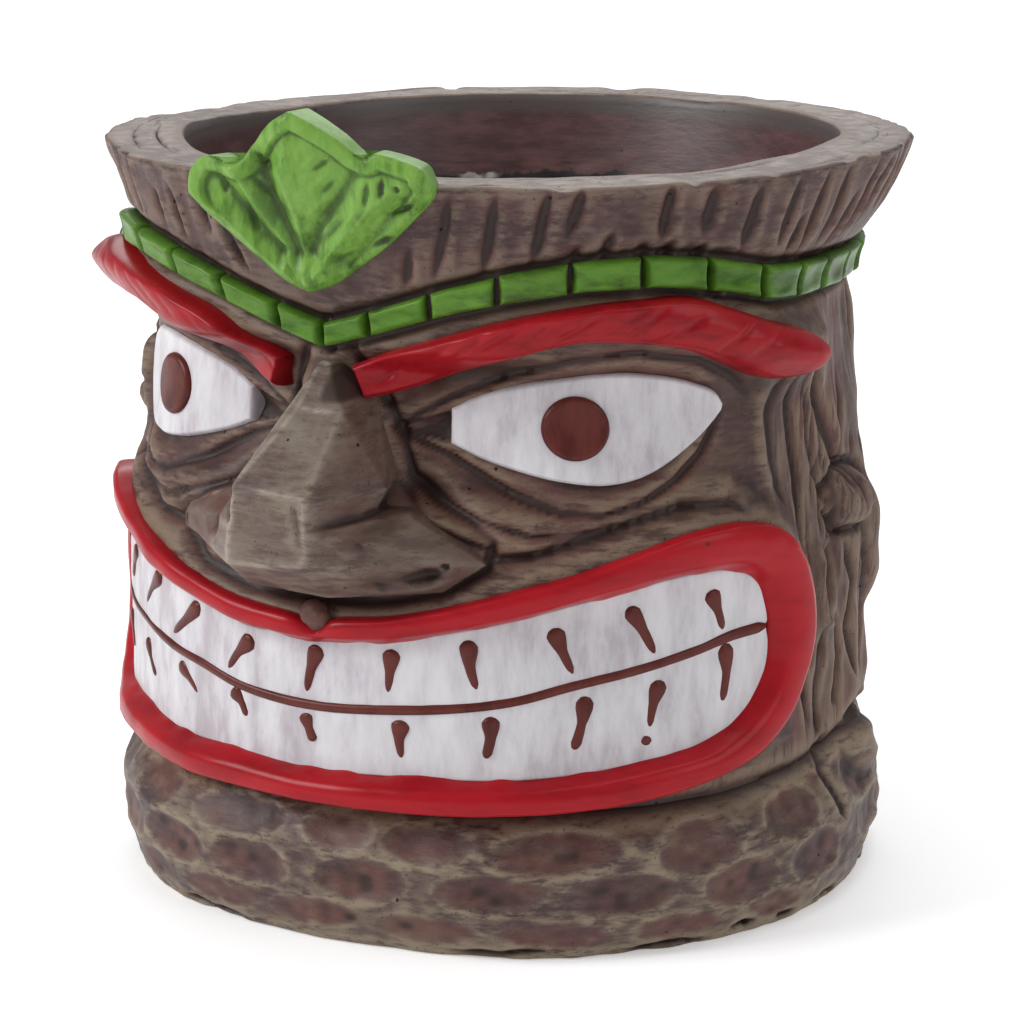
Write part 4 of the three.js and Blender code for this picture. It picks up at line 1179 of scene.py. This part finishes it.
# Eyes: thin almonds of resin set under the lids and brushed white. Each has a round button for its pupil,
# painted with the brown of the tooth lines.
EYE_THICKNESS, PUPIL_THICKNESS = 1.6, 0.9
PUPIL_ANGLE, PUPIL_HEIGHT, PUPIL_HALF_WIDE, PUPIL_HALF_TALL = 39.6, 88.7, 5.1, 5.3
eye_lower = [(19.9, 85.1), (24.7, 83.1), (30, 81.5), (38.2, 79.6), (44.6, 79.1), (49.2, 80), (56.5, 84.3),
             (61.2, 88.4), (62.8, 90.2)]
eye_upper = [(19.9, 91.1), (24.7, 93.6), (31, 95.6), (38.2, 97), (44.6, 97.6), (51, 97.2), (58, 95.4),
             (62, 93.2), (63.1, 91.4)]
for side, word in ((1, "left"), (-1, "right")):
    lower, upper = ([(side * (a if side > 0 else float(narrower(a))), h) for a, h in edge]
                    for edge in (eye_lower, eye_upper))
    skin = plate(lower, upper, EYE_THICKNESS, 0.9, 150, 60)
    enamel_waves(skin, 0.12, 81 + side)
    eye = press("eye_white_" + word, skin)
    mark_hollow_and_proud(eye, (30,), (1.0,), keep_dark=False)
    eye.data.materials.append(white)
    ride_and_stand_for(eye, "white_enamel", "eye_" + word)
    turn = np.linspace(math.pi, 0, 25)
    lower_arc, upper_arc = ([(side * (PUPIL_ANGLE + PUPIL_HALF_WIDE * math.cos(t)),
                              PUPIL_HEIGHT + way * PUPIL_HALF_TALL * math.sin(t)) for t in turn]
                              for way in (-1, 1))
    skin = plate(lower_arc, upper_arc, PUPIL_THICKNESS, 0.8, 60, 40, on=lambda a,
                 h: wall(a, h) + EYE_THICKNESS, sunk=0.3)
    enamel_waves(skin, 0.06, 85 + side)
    pupil = press("pupil_button_" + word, skin)
    mark_hollow_and_proud(pupil, (20,), (0.8,), keep_dark=False)
    pupil.data.materials.append(brown)
    ride_and_stand_for(pupil, "brown_enamel", "pupil_" + word)

# Brows: long beams of resin that rise from the nose and end in a rounded beak at the temple. They are
# chiselled aslant and brushed with red enamel.
BROW_RISE, BROW_ROUNDING = 3.9, 1.1
brow_lower = [(8.0, 92.4), (11.5, 93.2), (20.7, 96.8), (30, 100.6), (38.9, 103.4), (47.2, 103.1),
              (54.9, 101.6), (61.7, 98.4), (67, 95.8), (70.8, 95.0), (74.8, 96.3), (76.6, 98.4)]
brow_upper = [(5.9, 98), (10.8, 100.2), (20.7, 104.3), (30, 107.5), (38.9, 109.6), (47.2, 110.6),
              (54.9, 110.5), (61.7, 108.0), (67.4, 105.6), (71.8, 104.2), (75.4, 102.4), (76.9, 100.8)]
red_brow = enamel("red enamel brows", colour=(0.215, 0.004, 0.008), light=(0.30, 0.008, 0.013),
                  shade=(0.10, 0.002, 0.004), turn=(0, 0, 0), stretch=(0.3, 0.3, 1), rough=0.30, coat=0.04,
                  bristle_mm=0.16)
for side, word in ((1, "left"), (-1, "right")):
    chance = np.random.default_rng(31 + side)
    # the two brows do not start evenly from the nose
    shift = 1.4 if side > 0 else -2.8
    lower, upper = ([(side * (a - shift * float(step_up(20, 9, a))), h + float(brow_raise(side * a)))
                     for a, h in edge] for edge in (brow_lower, brow_upper))
    skin = plate(lower, upper, BROW_RISE, BROW_ROUNDING, 260, 48)
    for k in range(11):
        at = 13 + 5.1 * k + chance.uniform(-1.2, 1.2)
        middle = along([(8, 96), (20, 101.5), (30, 105.3), (47, 107.4), (62, 103.3), (72, 100)], at)
        lean = chance.uniform(2.0, 4.0)
        path = [(side * (at - lean), middle - 2.8), (side * at, middle), (side * (at + lean), middle + 2.8)]
        raised_path = [(a, h + float(brow_raise(a))) for a, h in path]
        broad = chance.uniform(0.5, 0.8)
        cut(skin, raised_path, broad, -(0.6 + 0.4 * side) * chance.uniform(0.3, 0.7), dark=0.6, taper=0.3)
    enamel_waves(skin, 0.2, 90 + side)
    brow = press("brow_beam_" + word, skin)
    mark_hollow_and_proud(brow, (30,), (0.9,), keep_dark=False)
    brow.data.materials.append(red_brow)
    ride_and_stand_for(brow, "red_enamel", "brow_" + word)

# Headband: a row of small pads of resin right round the head, dipping in a V over the nose. They are brushed
# green, and the paint is rubbed off some of them.
green_band = enamel("green enamel band", colour=(0.050, 0.125, 0.010), light=(0.090, 0.205, 0.022),
                    shade=(0.018, 0.048, 0.005), turn=(0, 0, 0), stretch=(0.35, 0.35, 1), rough=0.34,
                    coat=0.05, bristle_mm=0.16, fineness=420, worn=0.9)
PAD_RISE, PAD_ROUNDING, HALF_JOINT = 2.2, 1.0, 0.3
joints_at = [0, 8] + list(range(18, 169, 10)) + [180]
chance = np.random.default_rng(37)
for side, word in ((1, "left"), (-1, "right")):
    for k in range(len(joints_at) - 1):
        start = joints_at[k] + HALF_JOINT + 0.12 * chance.uniform(0, 1)
        end = joints_at[k + 1] - HALF_JOINT - 0.12 * chance.uniform(0, 1)
        turn = np.linspace(start, end, 9)
        middle, half = band_middle(turn), band_half(turn) + chance.uniform(-0.1, 0.12)
        skin = plate(np.stack([side * turn, middle - half], -1), np.stack([side * turn, middle + half], -1),
                     PAD_RISE + chance.uniform(-0.15, 0.2), PAD_ROUNDING, 30, 20)
        scoop(skin, (side * 0.5 * (start + end), float(middle[4])), 7.5, 3.4, 0.3)
        enamel_waves(skin, 0.14, 100 + k)
        rubbed_away = chance.uniform(0, 1) ** 2.2
        if side == 1 and k in (2, 3, 4):
            rubbed_away = (0.85, 0.55, 0.9)[k - 2]
        scuffs = mottle(skin["angle"], skin["height"], 4, 1.5, 120 + k)
        skin["dark"] = rubbed_away * np.clip(0.6 + 0.8 * scuffs, 0, 1)
        name = f"band_tile_{word}_{k + 1:02d}"
        tile = press(f"headband_pad_{word}_{k + 1:02d}", skin)
        mark_hollow_and_proud(tile, (10,), (0.5,), keep_dark=False)
        tile.data.materials.append(green_band)
        ride_and_stand_for(tile, "green_enamel", name)

# Leaf: a lobed leaf cast on the front of the crown, with a rolled border, a midrib and engraved veins. It is
# brushed green and left dark in its grooves.
leaf_right = [(-0.3, 110.3), (-4.2, 112.0), (-7.4, 114.9), (-10.4, 118), (-13.2, 121), (-14.9, 123.6),
              (-15.5, 127), (-14.6, 130.2), (-12.0, 132.4), (-6.5, 131.8), (-4.2, 134.8), (-1.2, 138.4),
              (1.9, 140.8)]
leaf_left = [(-0.1, 110.3), (3.5, 111.7), (8.2, 115.1), (13.3, 119.4), (18, 124.7), (20.2, 127.9),
             (20.0, 130.7), (18.6, 133), (13.4, 134.7), (11.3, 133.8), (8.0, 136.9), (5.0, 139.2),
             (2.4, 140.8)]


def leaf_front(angle, height):
    """The face of the leaf: it leans out with the crown, then stands straight above the rim."""
    return along([(110.5, 62.6), (120, 66.9), (130, 71.2), (141, 72.0)], height, 1.0)


skin = plate(leaf_right, leaf_left, 0.9, 1.3, 170, 130, on=leaf_front, sunk=2.4, even=True)


ridges = ([(0.2, 112.5), (-0.4, 119.2), (-0.1, 124.8), (1.2, 132), (1.5, 138.4)],
          [(-0.3, 113.3), (-2.4, 119.4), (-4.7, 126), (-6.7, 131.3)],
          [(1.8, 113.3), (6.5, 118), (12.7, 125.3), (18.5, 131)],
          [(-1.5, 112.1), (-6.9, 117.6), (-10.8, 122.3), (-15.2, 126.1)])
valleys = ([(-0.8, 117.4), (-2.2, 125.9), (-3.0, 133.3)], [(1.7, 118), (7.3, 126.7), (10, 131.4)],
           [(-3.5, 117.5), (-7, 122.5), (-10.5, 129)], [(7, 115.8), (11, 120), (16.5, 126)])
to_ridge = np.min([to_line(skin, ridge) for ridge in ridges], axis=0)
to_valley = np.min([to_line(skin, valley) for valley in valleys], axis=0)
skin["radius"] += np.minimum(0.75 * (to_ridge + to_valley), 2.9) * to_valley / (to_ridge + to_valley + 0.05)
from_edge, upper_half = skin["from_edge"], step_up(119, 127, skin["height"])
skin["radius"] += 1.0 * upper_half * step_up(2.9, 2.2, from_edge)
skin["dark"] = np.maximum(0.35 * upper_half * np.exp(-((from_edge - 2.9) / 0.3) ** 2),
                          0.45 * np.exp(-(to_valley / 1.3) ** 2) * step_up(1.0, 3.0, from_edge))
scoop(skin, (-7.0, 122.6), 2.6, 6.0, 0.9, dark=0.4, lean=-0.6)
scoop(skin, (-10.4, 128), 1.6, 4.0, 0.8, dark=0.8)
for start, end in (((-3.9, 134.0), (-1.3, 131.1)), ((-4.8, 130.2), (-2.3, 126.2)),
                   ((11.8, 130.1), (11.1, 125.6)), ((14, 131), (13.4, 127.1)), ((14, 124.5), (18.2, 126.9)),
                   ((10.7, 119), (14.2, 120.9)), ((15.9, 129.8), (15.7, 128.4))):
    cut(skin, [start, end], 0.5, -0.8, dark=0.95 if start[0] > 10 else 0.45, taper=0.35)
for start, end in (((3.2, 131.7), (6.2, 134.2)), ((2.7, 123.7), (7.1, 128.3)), ((2.5, 119.6), (7.8, 125)),
                   ((7.1, 121.5), (10.9, 126.9)), ((4.0, 128), (6.6, 131)), ((3, 116), (8.6, 119.6))):
    cut(skin, [start, end], 0.45, 0.35, taper=0.35)
    cut(skin, [(a + 0.9, h - 0.6) for a, h in (start, end)], 0.5, -0.35, dark=0.3, taper=0.35)
enamel_waves(skin, 0.14, 131)
leaf = press("crown_leaf", skin)
mark_hollow_and_proud(leaf, (14, 60), (0.45, 1.4))
green_leaf = enamel("green enamel leaf", colour=(0.102, 0.225, 0.030), light=(0.172, 0.325, 0.062),
                    shade=(0.034, 0.080, 0.013), turn=(0, 0, 0), stretch=(1, 1, 0.35), rough=0.35, coat=0.05,
                    bristle_mm=0.18, fineness=420, worn=1.0)
leaf.data.materials.append(green_leaf)
ride_and_stand_for(leaf, "green_enamel", "leaf")

# Table, light and view: a pale table, soft daylight from large lamps, and one camera. They only show the
# object and are no part of it.
bpy.ops.object.select_all(action="DESELECT")
bpy.ops.mesh.primitive_plane_add(size=14)
floor = bpy.context.object
floor.name = "floor"
table, tree, where = new_paint("pale table")
finish_paint(tree, blend(tree, speckle(tree, where, 30), (0.86, 0.86, 0.86), (0.9, 0.9, 0.9)), 0.7,
             speckle(tree, where, 900), 0.02)
glow = next(n for n in tree.nodes if n.type == "BSDF_PRINCIPLED")
glow.inputs["Emission Color"].default_value = (1, 1, 1, 1)
glow.inputs["Emission Strength"].default_value = 0.3
floor.data.materials.append(table)

world = bpy.data.worlds.new("studio")
bpy.context.scene.world = world
world.use_nodes = True
sky = world.node_tree.nodes["Background"]
sky.inputs["Color"].default_value = (0.96, 0.97, 1.0, 1)
sky.inputs["Strength"].default_value = 0.36


def lamp(name, place, size, power, towards=(0, 0, 0.07)):
    """A large soft lamp that faces the piece, unless it is turned elsewhere."""
    light = bpy.data.lights.new(name, "AREA")
    light.shape, light.size, light.size_y, light.energy = "RECTANGLE", size[0], size[1], power
    made = bpy.data.objects.new(name, light)
    bpy.context.collection.objects.link(made)
    aim = np.array(towards) - np.array(place)
    flat = math.hypot(aim[0], aim[1])
    made.location = place
    made.rotation_euler = (math.atan2(flat, -aim[2]), 0, math.atan2(aim[1], aim[0]) - math.pi / 2)


lamp("key", (-0.62, -0.66, 0.62), (0.5, 0.5), 8.5)
lamp("side", (0.95, -0.15, 0.55), (0.5, 0.7), 2.5)
lamp("top", (0.1, 0.25, 1.1), (0.9, 0.9), 5)
lamp("backdrop", (-1.4, 2.6, 1.6), (2.4, 1.6), 60, (-1.5, 2.8, 0))

CAMERA_PLACE, CAMERA_LENS, LOOKS_DOWN, TURNED = (0.3260, -0.5624, 0.2094), 130.2, 12.87, 30.1
view = bpy.data.cameras.new("view")
view.lens, view.sensor_width, view.clip_start = CAMERA_LENS, 36, 0.01
camera = bpy.data.objects.new("view", view)
bpy.context.collection.objects.link(camera)
camera.location = CAMERA_PLACE
camera.rotation_euler = (math.radians(90 - LOOKS_DOWN), 0, math.radians(TURNED))
bpy.context.scene.camera = camera
